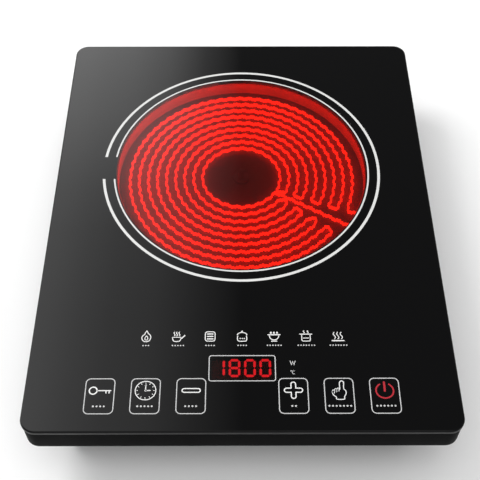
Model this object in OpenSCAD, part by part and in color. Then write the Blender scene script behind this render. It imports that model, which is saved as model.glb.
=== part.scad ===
// Free-standing single hob: a glass-ceramic plate over a sprung radiant heater, with a
// touch-control board, a power board and a cooling fan in a moulded casing.
// Millimetres. X runs to the right, Y to the rear, Z up; the origin is on the table, under the
// middle of the glass.

/* [Glass plate] */
// Width of the glass, left to right
glass_w = 280; // [270:1:340]
// Depth of the glass, front to rear
glass_d = 358; // [345:1:430]
// Thickness of the glass
glass_t = 4; // [3:0.5:6]
// Radius of the glass corners
glass_corner_r = 10; // [8:1:16]
// Thickness of the silicone bead under the glass
seal_t = 0.5; // [0.3:0.1:1]
// Distance from the frame's edge in to the bead
seal_inset = 1.5; // [1:0.5:3]
// Width of the silicone bead
seal_w = 9; // [6:0.5:10]

/* [Casing] */
// Height of the glass top above the table
body_h = 62; // [60:1:80]
// Height of the feet below the housing
foot_h = 7; // [6:0.5:10]
// Diameter of a foot
foot_d = 18; // [12:1:18]
// Distance from the housing's wall in to a foot's centre
foot_inset = 11.5; // [11.5:0.5:14]
// Step in from the glass edge to the frame's skirt
frame_inset = 0.5; // [0.5:0.5:2]
// Height of the frame's skirt
skirt_h = 17.5; // [16:0.5:20]
// Thickness of the frame's skirt
frame_wall = 2.4; // [2:0.2:3]
// Width of the ledge that carries the glass
ledge_w = 12; // [12:0.5:14]
// Thickness of that ledge
ledge_t = 2; // [1.5:0.5:3]
// Step in from the skirt to the housing's wall
tub_inset = 16; // [15:0.5:17]
// Thickness of the housing's walls and floor
tub_wall = 2.5; // [2:0.5:3]
// Radius of the housing's corners
tub_corner_r = 14; // [10:1:18]
// How far the housing's flange lies above the skirt's lower edge
flange_recess = 2.6; // [2.6:0.2:3]
// Gap between the flange and the skirt
flange_gap = 0.6; // [0.3:0.1:1]
// Radius of a post that takes a screw
post_r = 4; // [3.5:0.5:4.5]

/* [Vents] */
// Width of a vent slot
slot_w = 3.2; // [2:0.2:4]
// Height of a wall vent slot
slot_h = 16; // [10:1:20]
// Distance between neighbouring vent slots
slot_pitch = 6.4; // [5:0.2:8]
// Number of slots in each group on the rear wall
rear_slots = 9; // [4:1:10]
// Number of slots in each side wall
side_slots = 14; // [6:1:18]

/* [Cord gland] */
// Radius of the bore that the cord passes through
gland_bore_r = 3.6; // [3:0.1:4]
// Radius of the gland's body where it passes the wall
gland_r = 6; // [5.5:0.5:8]
// Radius of the gland's collars
gland_collar_r = 8; // [7:0.5:9]
// Length of the gland
gland_l = 14; // [10:1:20]

/* [Heater] */
// Distance from the middle of the glass back to the heater's centre
zone_y = 40; // [30:1:45]
// Outer radius of the heater's steel dish
dish_r = 102.5; // [95:0.5:105]
// Depth of the dish
dish_h = 24.5; // [20:0.5:26]
// Thickness of the dish's sheet steel
dish_t = 0.6; // [0.5:0.1:1]
// Distance from the glass down to the dish's rim
rim_gap = 2; // [1:0.5:4]
// Width of the insulation ring
ring_w = 7.4; // [5:0.2:9]
// Distance from the glass down to the insulation base
base_drop = 10.5; // [9:0.5:14]
// Height of the element's ribbon
ribbon_h = 3.2; // [2:0.2:4]
// Thickness of the ribbon over its corrugation
ribbon_t = 1.2; // [0.8:0.1:1.6]
// Radius of the outermost strand
strand_r = 86; // [80:1:86]
// Distance between strands
strand_pitch = 7; // [6:0.5:7.5]
// Number of strands
strands = 9; // [5:2:9]
// Height of the heater springs
spring_h = 12; // [10:1:16]
// Outer radius of a heater spring
spring_r = 7; // [6:0.5:8]
// Radius of the spring's wire
spring_wire_r = 0.8; // [0.6:0.1:1]

/* [Fan] */
// Width and depth of the fan's square frame
fan_size = 80; // [80:1:92]
// Thickness of the fan
fan_h = 20; // [18:1:22]
// Radius of the fan's duct
fan_duct_r = 38; // [36:0.5:38]
// Gap between the blade tips and the duct
tip_gap = 1.2; // [0.8:0.1:2]
// Number of blades
blades = 7; // [5:1:9]
// Radius of the fan's shaft
shaft_r = 1.5; // [1.2:0.1:2]
// Running clearance of the shaft in its bearing
shaft_gap = 0.05; // [0.02:0.01:0.1]
// Distance between the fan's screw holes
fan_hole_pitch = 71.5; // [71.5:0.5:72.5]

/* [Power board] */
// Length of the power board, left to right
power_w = 130; // [125:1:135]
// Depth of the power board
power_d = 84; // [84:1:88]
// Thickness of both circuit boards
board_t = 1.6; // [1:0.1:2]
// Height of the power board above the housing's floor
power_lift = 5; // [4:0.5:8]

/* [Touch controls] */
// Distance from the glass's front edge back to the row of keys
key_row = 25; // [24:1:30]
// Distance from the middle to the first key on each side
key_first = 32.8; // [30:0.2:36]
// Distance between neighbouring keys
key_pitch = 29.25; // [26:0.25:30]
// Width of the display window
display_w = 43; // [36:1:48]
// Depth of the display window
display_d = 19; // [15:1:22]
// Distance from the row of keys back to the display
display_back = 20; // [18:0.5:24]
// Distance from the row of keys back to the row of function lights
lights_back = 44; // [42:0.5:46]
// Distance between neighbouring function lights
light_pitch = 21.3; // [18:0.1:22]
// Number of function lights
lights = 7; // [3:2:7]
// Height of the touch springs
touch_h = 6; // [5:0.5:7]

/* [Hidden] */
$fn = 64;

// Heights
glass_z = body_h - glass_t;
ledge_z = glass_z - seal_t - ledge_t;
skirt_z = glass_z - seal_t - skirt_h;
flange_z = skirt_z + flange_recess;
floor_z = foot_h + tub_wall;
base_z = glass_z - base_drop;
dish_rim_z = glass_z - rim_gap;
dish_z = dish_rim_z - dish_h;
ring_h = base_drop;
control_z = glass_z - touch_h - board_t;
tray_t = 1.5;
tray_gap = 1.5;
tray_z = control_z - tray_gap - tray_t;
power_z = floor_z + power_lift;
power_top = power_z + board_t;
fan_lift = 1.5;
fan_z = floor_z + fan_lift;
spring_z = dish_z - spring_h;

// Plan sizes
frame_w = glass_w - 2 * frame_inset;
frame_d = glass_d - 2 * frame_inset;
frame_corner_r = glass_corner_r - frame_inset;
tub_w = frame_w - 2 * tub_inset;
tub_d = frame_d - 2 * tub_inset;
inner_x = tub_w / 2 - tub_wall;
inner_y = tub_d / 2 - tub_wall;
flange_w = frame_w - 2 * (frame_wall + flange_gap);
flange_d = frame_d - 2 * (frame_wall + flange_gap);
flange_corner_r = frame_corner_r - frame_wall - flange_gap;
// The middle of the flange that stands out from the housing's walls
rail_x = (tub_w + flange_w) / 4;
rail_y = (tub_d + flange_d) / 4;
foot_stem_r = 3;
foot_barb_h = 1.2;
foot_x = tub_w / 2 - foot_inset;
foot_y = tub_d / 2 - foot_inset;
case_post_setback = 19;
case_post_y = rail_y - case_post_setback;
case_posts = concat(
    [for (sx = [-1, 1], sy = [-1, 0, 1]) [sx * rail_x, sy * case_post_y]],
    [for (sy = [-1, 1]) [0, sy * rail_y]]
);

// Screws: shank radius, hole radius, head radius, head height
screw_r = 1.5;
screw_hole_r = 1.8;
screw_head_r = 3.2;
screw_head_h = 2;
small_screw_r = 1;
small_head_r = 2;
small_head_h = 1.2;
post_bore_l = 9;
eps = 0.5;

// Cord gland
gland_x = -70;
gland_z = floor_z + 13;
collar_t = 2.5;

// Heater
ring_r = dish_r - dish_t;
lead_angle = -31;
gap_half = 9;
pin_angles = [lead_angle + 8, lead_angle];
pin_w = 2.4;
ring_in_r = ring_r - ring_w;
tab_t = ribbon_t + 0.3;
tab_l = 1.2;
spring_ring_r = 80;
spring_angles = [90, 210, 330];
spring_turns = 4;
spring_post_r = spring_r + 2;
spring_spigot_r = spring_r - 2 * spring_wire_r - 0.8;
spring_spigot_h = 5;
terminal_angle = lead_angle + 4;
terminal_size = [10, 27, 13];
terminal_z = base_z - 5;
terminal_in = dish_r + 0.3;
terminal_face_r = terminal_in / cos(terminal_angle - lead_angle);
lead_r = 1.3;
lead_gap = 4;

// Heat shield
shield_t = 0.8;
shield_y = zone_y - dish_r - 4;
shield_half = 92;
shield_top = tray_z - 6;
shield_foot = 10;
shield_screw_x = 80;
shield_screw_y = shield_y + shield_foot / 2;
notch_w = 14;
notch_h = 12;

// Fan
fan_x = inner_x - 13 - fan_size / 2;
fan_y = -inner_y + 10 + fan_size / 2;
fan_flange_t = 3;
hub_r = 16.5;
hub_wall = 1.7;
hub_plate_t = 1.5;
hub_z = fan_z + 1.5;
hub_top = fan_z + fan_h - 3;
magnet_t = 2;
magnet_r = hub_r - hub_wall;
bearing_r = 3.5;
boss_r = 5;
bearing_z = fan_z + 4;
plate_z = fan_z + fan_h - hub_plate_t;
stator_r = magnet_r - magnet_t - 0.8;

// Power board
power_x = -inner_x + 6 + power_w / 2;
power_y = -inner_y + 4 + power_d / 2;
power_hole_x = power_w / 2 - 5;
power_hole_y = power_d / 2 - 16;
mains_plug_x = -power_w / 2 + 16;
heater_plug_x = power_w / 2 - 20;
plug_y = power_d / 2 - 8;
plug_d = 10;
plug_wire_h = 5;
fan_plug = [power_w / 2 - 8, 8];

// Mains terminal block
mains_size = [30, 18, 16];
mains_x = -inner_x + 17;
mains_y = inner_y - 42;
mains_lift = 2;
mains_pitch = 7;
mains_screw_x = 12.5;
mains_slot_z = 7;
mains_wire_z = floor_z + mains_lift + mains_slot_z + lead_r;

// Touch controls
key_y = -glass_d / 2 + key_row;
keys_x = [for (side = [-1, 1], i = [0 : 2]) side * (key_first + i * key_pitch)];
display_y = key_y + display_back;
lights_y = key_y + lights_back;
control_w = 2 * (key_first + 2 * key_pitch + 11);
control_front = -rail_y + post_r + 2.5;
control_back = lights_y + 6;
control_d = control_back - control_front;
control_y = (control_back + control_front) / 2;
control_hole_x = control_w / 2 - 3;
control_hole_y = control_d / 2 - 3;
control_top = control_z + board_t;
ear_first = 15;
ear_gap = 20;
ear_y = [-case_post_y + ear_first, -case_post_y + ear_first + ear_gap];
ear_points = [for (sx = [-1, 1], y = ear_y) [sx * rail_x, y]];
head_gap = 0.2;
display_z = control_top;
display_h = touch_h - 1;
touch_r = 5;
touch_wire_r = 0.4;
ribbon_x = power_x + 30;
ribbon_w = 14;
ribbon_t2 = 0.8;

// A rectangle with round corners
module rounded_rect(w, d, r) {
    square([w - 2 * r, d], center = true);
    square([w, d - 2 * r], center = true);
    for (sx = [-1, 1], sy = [-1, 1])
        translate([sx * (w / 2 - r), sy * (d / 2 - r)])
            circle(r);
}

// A plate with round corners, standing on its own base
module rounded_plate(w, d, h, r) {
    linear_extrude(h)
        rounded_rect(w, d, r);
}

// A frame with round corners and a wall of one width
module rounded_ring(w, d, h, r, wall) {
    linear_extrude(h)
        difference() {
            rounded_rect(w, d, r);
            rounded_rect(w - 2 * wall, d - 2 * wall, max(r - wall, 0.5));
        }
}

// A block standing on its base, centred in X and Y
module block(size) {
    translate([-size[0] / 2, -size[1] / 2, 0])
        cube(size);
}

// A tube standing on its base
module tube(r, bore, h) {
    difference() {
        cylinder(r = r, h = h);
        translate([0, 0, -eps])
            cylinder(r = bore, h = h + 2 * eps);
    }
}

module at_corners(x, y) {
    for (sx = [-1, 1], sy = [-1, 1])
        translate([sx * x, sy * y, 0])
            children();
}

module at_points(points) {
    for (p = points)
        translate([p[0], p[1], 0])
            children();
}

// A cross-head screw whose head hangs below z = 0 and whose shank rises from it
module screw_up(length, r = screw_r, head_r = screw_head_r, head_h = screw_head_h) {
    cylinder(r = r, h = length);
    difference() {
        translate([0, 0, -head_h])
            cylinder(r = head_r, h = head_h);
        for (a = [0, 90])
            rotate([0, 0, a])
                translate([-head_r * 0.6, -head_r * 0.12, -head_h - eps])
                    cube([head_r * 1.2, head_r * 0.24, head_h / 2 + eps]);
    }
}

module screw_down(length, r = screw_r, head_r = screw_head_r, head_h = screw_head_h) {
    mirror([0, 0, 1])
        screw_up(length, r, head_r, head_h);
}

// Points of a smooth path that starts and ends on a route's ends, with a short straight at each
// end, and rounds off its corners
function bent(route, steps = 5) =
    let (n = len(route))
    concat(
        [route[0]],
        [for (i = [1 : n - 2])
            let (
                a = i == 1 ? (3 * route[0] + route[1]) / 4 : (route[i - 1] + route[i]) / 2,
                b = i == n - 2 ? (route[n - 2] + 3 * route[n - 1]) / 4 : (route[i] + route[i + 1]) / 2
            )
            for (k = [i == 1 ? 0 : 1 : steps])
                let (t = k / steps)
                (1 - t) * (1 - t) * a + 2 * t * (1 - t) * route[i] + t * t * b],
        [route[n - 1]]
    );

function unit(v) = v / norm(v);

// A round wire along a list of points, with its ring turned as little as possible from point to point
module wire(points, r, sides = 8) {
    n = len(points);
    along = [for (i = [0 : n - 1]) unit(points[min(i + 1, n - 1)] - points[max(i - 1, 0)])];
    first = unit(cross(along[0], abs(along[0][2]) < 0.9 ? [0, 0, 1] : [1, 0, 0]));
    across = [for (i = 0, u = first; i < n; i = i + 1,
        u = i < n ? unit(u - (u * along[i]) * along[i]) : u) u];
    rings = [for (i = [0 : n - 1], k = [0 : sides - 1])
        let (
            u = unit(across[i] - (across[i] * along[i]) * along[i]),
            v = cross(along[i], u),
            a = 360 * k / sides
        )
        points[i] + r * (cos(a) * u + sin(a) * v)];
    walls = [for (i = [0 : n - 2], k = [0 : sides - 1])
        let (a = i * sides + k, b = i * sides + (k + 1) % sides)
        [a, a + sides, b + sides, b]];
    caps = [[for (k = [0 : sides - 1]) k], [for (k = [sides - 1 : -1 : 0]) (n - 1) * sides + k]];
    polyhedron(rings, concat(walls, caps));
}

// A coil spring standing on z = 0, with flat end turns
module coil_spring(r, wire_r, h, turns, steps = 16, sides = 8) {
    path = [for (i = [0 : turns * steps])
        let (
            t = i / steps,
            ramp = min(max((t - 0.5) / (turns - 1), 0), 1)
        )
        [(r - wire_r) * cos(360 * t), (r - wire_r) * sin(360 * t), wire_r + ramp * (h - 2 * wire_r)]];
    wire(path, wire_r, sides);
}

module glass_plate() {
    color([0.03, 0.03, 0.035])
        translate([0, 0, glass_z])
            rounded_plate(glass_w, glass_d, glass_t, glass_corner_r);
}

module glass_seal() {
    color([0.12, 0.12, 0.12])
        translate([0, 0, glass_z - seal_t])
            rounded_ring(frame_w - 2 * seal_inset, frame_d - 2 * seal_inset, seal_t,
                frame_corner_r - seal_inset, seal_w);
}

// The skirt round the edge, the ledge that carries the glass, and the posts that take the screws
module upper_frame() {
    color([0.08, 0.08, 0.08])
        difference() {
            union() {
                translate([0, 0, skirt_z])
                    rounded_ring(frame_w, frame_d, skirt_h, frame_corner_r, frame_wall);
                translate([0, 0, ledge_z])
                    rounded_ring(frame_w, frame_d, ledge_t, frame_corner_r, frame_wall + ledge_w);
                at_points(case_posts)
                    translate([0, 0, flange_z + tub_wall])
                        cylinder(r = post_r, h = ledge_z - flange_z - tub_wall + ledge_t / 2);
                at_points(ear_points)
                    translate([0, 0, tray_z + tray_t])
                        cylinder(r = post_r, h = ledge_z - tray_z - tray_t + ledge_t / 2);
            }
            at_points(case_posts)
                translate([0, 0, flange_z + tub_wall - eps])
                    cylinder(r = screw_r, h = post_bore_l + eps);
            at_points(ear_points)
                translate([0, 0, tray_z + tray_t - eps])
                    cylinder(r = screw_r, h = 6 + eps);
        }
}

// The row of slots cut through a wall that runs along X
module slot_row(count, y, z) {
    for (i = [0 : count - 1])
        translate([(i - (count - 1) / 2) * slot_pitch - slot_w / 2, y - tub_wall, z])
            cube([slot_w, 2 * tub_wall, slot_h]);
}

module fan_grille() {
    for (i = [-5 : 5])
        let (half = sqrt(pow(fan_duct_r - 3, 2) - pow(i * slot_pitch, 2)))
        translate([i * slot_pitch - slot_w / 2, -half, 0])
            cube([slot_w, 2 * half, tub_wall + 2 * eps]);
}

// The tub: floor, walls, flange, and the bosses that hold the pieces inside
module bottom_housing() {
    wall_h = flange_z + tub_wall - foot_h;
    vent_z = floor_z + 7;
    side_length = tub_d - 2 * tub_corner_r;
    color([0.1, 0.1, 0.1])
        difference() {
            union() {
                translate([0, 0, foot_h])
                    rounded_ring(tub_w, tub_d, wall_h, tub_corner_r, tub_wall);
                translate([0, 0, foot_h])
                    rounded_plate(tub_w, tub_d, tub_wall, tub_corner_r);
                translate([0, 0, flange_z])
                    rounded_ring(flange_w, flange_d, tub_wall, flange_corner_r,
                        tub_inset - frame_wall - flange_gap + tub_wall / 2);
                translate([0, zone_y, 0])
                    for (a = spring_angles)
                        rotate([0, 0, a])
                            translate([spring_ring_r, 0, foot_h])
                                spring_post();
                translate([fan_x, fan_y, foot_h])
                    at_corners(fan_hole_pitch / 2, fan_hole_pitch / 2)
                        cylinder(r = post_r, h = tub_wall + fan_lift);
                translate([power_x, power_y, foot_h])
                    at_corners(power_hole_x, power_hole_y)
                        cylinder(r = post_r, h = tub_wall + power_lift);
                translate([mains_x, mains_y, foot_h])
                    block([mains_size[0], mains_size[1], tub_wall + mains_lift]);
                for (sx = [-1, 1])
                    translate([sx * shield_screw_x, shield_screw_y, foot_h])
                        cylinder(r = post_r, h = tub_wall);
            }
            at_points(case_posts)
                translate([0, 0, flange_z - eps])
                    cylinder(r = screw_hole_r, h = tub_wall + 2 * eps);
            at_points(ear_points)
                translate([0, 0, tray_z - screw_head_h - head_gap])
                    cylinder(r = screw_head_r + head_gap, h = tub_wall);
            translate([0, 0, foot_h - eps])
                at_corners(foot_x, foot_y)
                    cylinder(r = foot_stem_r, h = tub_wall + 2 * eps);
            translate([fan_x, fan_y, foot_h - eps])
                fan_grille();
            translate([fan_x, fan_y, foot_h + 1])
                at_corners(fan_hole_pitch / 2, fan_hole_pitch / 2)
                    cylinder(r = screw_r, h = tub_wall + fan_lift);
            translate([power_x, power_y, foot_h + 1])
                at_corners(power_hole_x, power_hole_y)
                    cylinder(r = small_screw_r, h = tub_wall + power_lift);
            translate([mains_x, mains_y, foot_h + 1])
                for (sx = [-1, 1])
                    translate([sx * mains_screw_x, 0, 0])
                        cylinder(r = small_screw_r, h = tub_wall + mains_lift);
            for (sx = [-1, 1])
                translate([sx * shield_screw_x, shield_screw_y, foot_h + 0.5])
                    cylinder(r = small_screw_r, h = tub_wall);
            for (sx = [0, 1])
                translate([sx * 55 - 8, 0, 0])
                    slot_row(rear_slots, inner_y + tub_wall / 2, vent_z);
            for (sx = [-1, 1])
                rotate([0, 0, 90])
                    slot_row(side_slots, sx * (inner_x + tub_wall / 2), vent_z);
            translate([gland_x, inner_y - eps, gland_z])
                rotate([-90, 0, 0])
                    cylinder(r = gland_r, h = tub_wall + 2 * eps);
        }
}

// A post with a spigot that centres a heater spring
module spring_post() {
    h = spring_z - foot_h;
    cylinder(r = spring_post_r, h = h);
    cylinder(r = spring_spigot_r, h = h + spring_spigot_h);
}

// Rubber feet, each pushed through the floor and held by its barb
module rubber_feet() {
    color([0.05, 0.05, 0.05])
        at_corners(foot_x, foot_y)
            rotate_extrude()
                polygon([
                    [0, 0], [foot_d / 2 - 1, 0], [foot_d / 2, 1], [foot_d / 2 - 1.5, foot_h],
                    [foot_stem_r, foot_h], [foot_stem_r, floor_z], [foot_stem_r + 1.2, floor_z],
                    [foot_stem_r, floor_z + foot_barb_h], [0, floor_z + foot_barb_h]
                ]);
}

module case_screws() {
    color([0.5, 0.5, 0.52])
        at_points(case_posts)
            translate([0, 0, flange_z])
                screw_up(tub_wall + post_bore_l - 1);
}

// A bushing that snaps into the rear wall, with the cord's bore through it
module cord_gland() {
    color([0.06, 0.06, 0.06])
        translate([gland_x, inner_y, gland_z])
            rotate([-90, 0, 0])
                difference() {
                    union() {
                        translate([0, 0, -collar_t])
                            cylinder(r = gland_collar_r, h = collar_t);
                        cylinder(r = gland_r, h = tub_wall);
                        translate([0, 0, tub_wall])
                            cylinder(r = gland_collar_r, h = collar_t);
                        translate([0, 0, tub_wall + collar_t])
                            cylinder(r = gland_r, h = gland_l - tub_wall - 2 * collar_t);
                    }
                    translate([0, 0, -collar_t - eps])
                        cylinder(r = gland_bore_r, h = gland_l + 2 * eps);
                }
}

// What is cut out of the dish and the ring where the element's two pins pass
module pin_slots() {
    for (a = pin_angles)
        rotate([0, 0, a])
            translate([ring_in_r - eps, -pin_w / 2 - 0.3, base_z])
                cube([ring_w + dish_t + 2 * eps, pin_w + 0.6, ribbon_h + 0.8]);
}

module heater_dish() {
    color([0.65, 0.66, 0.67])
        translate([0, zone_y, 0])
            difference() {
                translate([0, 0, dish_z])
                    cylinder(r = dish_r, h = dish_h, $fn = 128);
                translate([0, 0, dish_z + dish_t])
                    cylinder(r = dish_r - dish_t, h = dish_h, $fn = 128);
                pin_slots();
            }
}

module insulation_base() {
    color([0.85, 0.82, 0.76])
        translate([0, zone_y, dish_z + dish_t])
            cylinder(r = ring_r, h = base_z - dish_z - dish_t, $fn = 128);
}

module insulation_ring() {
    color([0.9, 0.87, 0.8])
        translate([0, zone_y, 0])
            difference() {
                translate([0, 0, base_z])
                    cylinder(r = ring_r, h = ring_h, $fn = 128);
                translate([0, 0, base_z - eps])
                    cylinder(r = ring_in_r, h = ring_h + 2 * eps, $fn = 128);
                pin_slots();
            }
}

// One strand of the ribbon, from its start angle round to its end angle
module strand(r, from, to) {
    rotate([0, 0, from])
        rotate_extrude(angle = to - from, $fn = 96)
            translate([r - ribbon_t / 2, 0])
                square([ribbon_t, ribbon_h]);
}

// The half turn that joins two neighbouring strands at one side of the gap
module hairpin(outer_r, angle, side) {
    rotate([0, 0, angle])
        translate([outer_r - strand_pitch / 2, 0, 0])
            strand(strand_pitch / 2, side > 0 ? 0 : 180, side > 0 ? 180 : 360);
}

// The tab that pins an end of a strand to the insulation
module tab(r, angle) {
    rotate([0, 0, angle])
        translate([r - tab_t / 2, -tab_l / 2, 0])
            cube([tab_t, tab_l, ribbon_h + 0.3]);
}

// One ribbon that winds in and out round the zone and comes back along the gap
module heating_element() {
    start = lead_angle + gap_half;
    end = lead_angle - gap_half + 360;
    inner_r = strand_r - (strands - 1) * strand_pitch;
    color([0.9, 0.25, 0.1])
        translate([0, zone_y, base_z]) {
            for (i = [0 : strands - 1])
                let (
                    r = strand_r - i * strand_pitch,
                    from = i == 0 ? pin_angles[0] : start,
                    to = i == strands - 1 ? lead_angle + 360 : end
                ) {
                    strand(r, from, to);
                    tab(r, from);
                    tab(r, to);
                }
            for (i = [0 : 2 : strands - 2])
                hairpin(strand_r - i * strand_pitch, end, 1);
            for (i = [1 : 2 : strands - 2])
                hairpin(strand_r - i * strand_pitch, start, -1);
            rotate([0, 0, pin_angles[0]])
                translate([strand_r - ribbon_t / 2, -ribbon_t / 2, 0])
                    cube([ring_in_r - strand_r + ribbon_t / 2, ribbon_t, ribbon_h]);
            rotate([0, 0, lead_angle])
                translate([inner_r - ribbon_t / 2, -ribbon_t / 2, 0])
                    cube([ring_in_r - inner_r + ribbon_t / 2, ribbon_t, ribbon_h]);
        }
}

// The two steel pins that carry the current out through the ring and the dish
module element_pins() {
    pin_end_r = terminal_face_r / cos(terminal_angle - lead_angle) - 0.1;
    color([0.7, 0.7, 0.72])
        translate([0, zone_y, base_z])
            for (a = pin_angles)
                rotate([0, 0, a])
                    translate([ring_in_r, -pin_w / 2, 0.4])
                        cube([pin_end_r - ring_in_r, pin_w, ribbon_h - 0.8]);
}

module heater_terminal_block() {
    color([0.93, 0.92, 0.88])
        translate([0, zone_y, terminal_z])
            rotate([0, 0, terminal_angle])
                translate([terminal_face_r + terminal_size[0] / 2, 0, 0])
                    difference() {
                        block(terminal_size);
                        for (sy = [-1, 1])
                            translate([0, sy * 7, 6])
                                block([5, 7, 8]);
                    }
}

// A bimetal switch on a bracket under the dish
module thermal_cutout() {
    color([0.2, 0.2, 0.22])
        translate([0, zone_y, dish_z]) {
            translate([0, 0, -1])
                block([34, 12, 1]);
            translate([0, 0, -7])
                cylinder(r = 8, h = 6);
            for (sx = [-1, 1])
                translate([sx * 4, 0, -11])
                    block([0.8, 5, 4]);
        }
}

// A bead sensor that stands on the insulation base and reaches up to the glass
module glass_sensor() {
    color([0.75, 0.75, 0.76])
        translate([0, zone_y, base_z]) {
            cylinder(r = 6, h = 2);
            cylinder(r = 2.5, h = base_drop - 0.5);
        }
}

module heater_springs() {
    color([0.75, 0.75, 0.77])
        translate([0, zone_y, spring_z])
            for (a = spring_angles)
                rotate([0, 0, a])
                    translate([spring_ring_r, 0, 0])
                        coil_spring(spring_r, spring_wire_r, spring_h, spring_turns);
}

// Two heat-proof leads from the heater's block, under the dish and through the shield to the board
module heater_leads() {
    end = [power_x + heater_plug_x - lead_gap / 2, power_y + plug_y + plug_d / 2, power_top + plug_wire_h];
    out = [cos(terminal_angle), sin(terminal_angle), 0];
    side = [-sin(terminal_angle), cos(terminal_angle), 0];
    face = [0, zone_y, terminal_z + 4] + (terminal_face_r + terminal_size[0]) * out;
    color([0.85, 0.83, 0.78])
        for (i = [0, 1])
            let (across = [0, lead_gap * i, 0], beside = [lead_gap * i, 0, 0])
            wire(bent([
                face + (8 * i - 4) * side,
                face + (8 * i - 4) * side + 7 * out,
                [face[0] + 7, face[1] - 8, dish_z - 8] + across,
                [75, zone_y - 74, dish_z - 10] + across,
                [30, zone_y - 86, dish_z - 10] + across,
                [end[0], shield_y + 6, end[2]] + beside,
                end + [0, 6, 0] + beside,
                end + beside
            ]), lead_r);
}

// A bent sheet that keeps the heater's heat away from the boards and the fan
module heat_shield() {
    color([0.78, 0.79, 0.8])
        difference() {
            union() {
                translate([-shield_half, shield_y, floor_z])
                    cube([2 * shield_half, shield_t, shield_top - floor_z]);
                for (sx = [-1, 1])
                    translate([sx * shield_screw_x, shield_screw_y, floor_z])
                        block([12, shield_foot, shield_t]);
            }
            translate([power_x + heater_plug_x, shield_y, power_top + plug_wire_h - notch_h / 2])
                block([notch_w, 4, notch_h]);
            for (sx = [-1, 1])
                translate([sx * shield_screw_x, shield_screw_y, floor_z - eps])
                    cylinder(r = small_screw_r + 0.2, h = shield_t + 2 * eps);
        }
}

module shield_screws() {
    color([0.6, 0.6, 0.62])
        for (sx = [-1, 1])
            translate([sx * shield_screw_x, shield_screw_y, floor_z + shield_t])
                screw_down(2.2, small_screw_r, small_head_r, small_head_h);
}

// The square duct, its four struts and the hub plate that carries the motor
module fan_frame() {
    color([0.07, 0.07, 0.08])
        translate([fan_x, fan_y, fan_z])
            difference() {
                union() {
                    tube(fan_duct_r + 1.6, fan_duct_r, fan_h);
                    for (z = [0, fan_h - fan_flange_t])
                        translate([0, 0, z])
                            difference() {
                                rounded_plate(fan_size, fan_size, fan_flange_t, 4);
                                translate([0, 0, -eps])
                                    cylinder(r = fan_duct_r, h = fan_flange_t + 2 * eps);
                            }
                    translate([0, 0, fan_h - hub_plate_t])
                        cylinder(r = hub_r, h = hub_plate_t);
                    for (a = [45 : 90 : 315])
                        rotate([0, 0, a])
                            translate([hub_r - 1, -2, fan_h - hub_plate_t])
                                cube([fan_duct_r - hub_r + 2, 4, hub_plate_t]);
                    translate([0, 0, bearing_z - fan_z + 2])
                        tube(boss_r, bearing_r, plate_z - bearing_z - 2);
                }
                translate([0, 0, -eps])
                    at_corners(fan_hole_pitch / 2, fan_hole_pitch / 2)
                        cylinder(r = screw_hole_r, h = fan_h + 2 * eps);
            }
}

// The laminated core and its four coils, pressed on the frame's boss
module fan_stator() {
    color([0.72, 0.4, 0.2])
        translate([fan_x, fan_y, bearing_z + 4]) {
            tube(boss_r + 2, boss_r, 8);
            for (a = [0 : 90 : 270])
                rotate([0, 0, a]) {
                    translate([boss_r + 1, -1.6, 2])
                        cube([stator_r - boss_r - 1.4, 3.2, 4]);
                    translate([boss_r + 1.2, -3, 1])
                        cube([stator_r - boss_r - 3, 6, 6]);
                }
        }
}

module fan_bearing() {
    color([0.75, 0.6, 0.3])
        translate([fan_x, fan_y, bearing_z])
            tube(bearing_r, shaft_r + shaft_gap, plate_z - bearing_z);
}

// The hub cup with its blades
module fan_impeller() {
    tip_r = fan_duct_r - tip_gap;
    blade_h = hub_top - hub_z;
    color([0.15, 0.15, 0.16])
        translate([fan_x, fan_y, hub_z])
            difference() {
                union() {
                    cylinder(r = hub_r, h = blade_h);
                    intersection() {
                        cylinder(r = tip_r, h = blade_h);
                        for (i = [0 : blades - 1])
                            rotate([0, 0, 360 * i / blades])
                                translate([hub_r - 1, 0, blade_h / 2])
                                    rotate([38, 0, 0])
                                        translate([0, -11, -0.7])
                                            cube([tip_r, 22, 1.4]);
                    }
                }
                translate([0, 0, 1.5])
                    cylinder(r = magnet_r, h = blade_h);
                translate([0, 0, 0.5])
                    cylinder(r = shaft_r, h = blade_h);
            }
}

module fan_shaft() {
    color([0.8, 0.8, 0.82])
        translate([fan_x, fan_y, hub_z + 0.5])
            cylinder(r = shaft_r, h = plate_z - hub_z - 1);
}

module fan_magnet() {
    color([0.3, 0.3, 0.32])
        translate([fan_x, fan_y, hub_z + 2.5])
            tube(magnet_r, magnet_r - magnet_t, hub_top - hub_z - 3.5);
}

module fan_screws() {
    color([0.6, 0.6, 0.62])
        translate([fan_x, fan_y, fan_z + fan_h])
            at_corners(fan_hole_pitch / 2, fan_hole_pitch / 2)
                screw_down(fan_h + fan_lift + 1);
}

module fan_lead() {
    start = [fan_x - fan_size / 2, fan_y + 20, fan_z + fan_h - 1.5];
    end = [power_x + fan_plug[0] + 3, power_y + fan_plug[1] - 1.3, power_top + 5];
    color([0.6, 0.1, 0.1])
        for (i = [0, 1])
            let (dy = [0, 2.6 * i, 0])
            wire(bent([start + dy, start + dy + [-5, 0, 0], end + dy + [5, 0, 0], end + dy]), 0.8);
}

module power_board() {
    color([0.1, 0.35, 0.2])
        translate([power_x, power_y, power_z])
            difference() {
                block([power_w, power_d, board_t]);
                translate([0, 0, -eps])
                    at_corners(power_hole_x, power_hole_y)
                        cylinder(r = small_screw_r + 0.2, h = board_t + 2 * eps);
            }
}

module power_board_screws() {
    color([0.6, 0.6, 0.62])
        translate([power_x, power_y, power_top])
            at_corners(power_hole_x, power_hole_y)
                screw_down(board_t + power_lift, small_screw_r, small_head_r, small_head_h);
}

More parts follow.
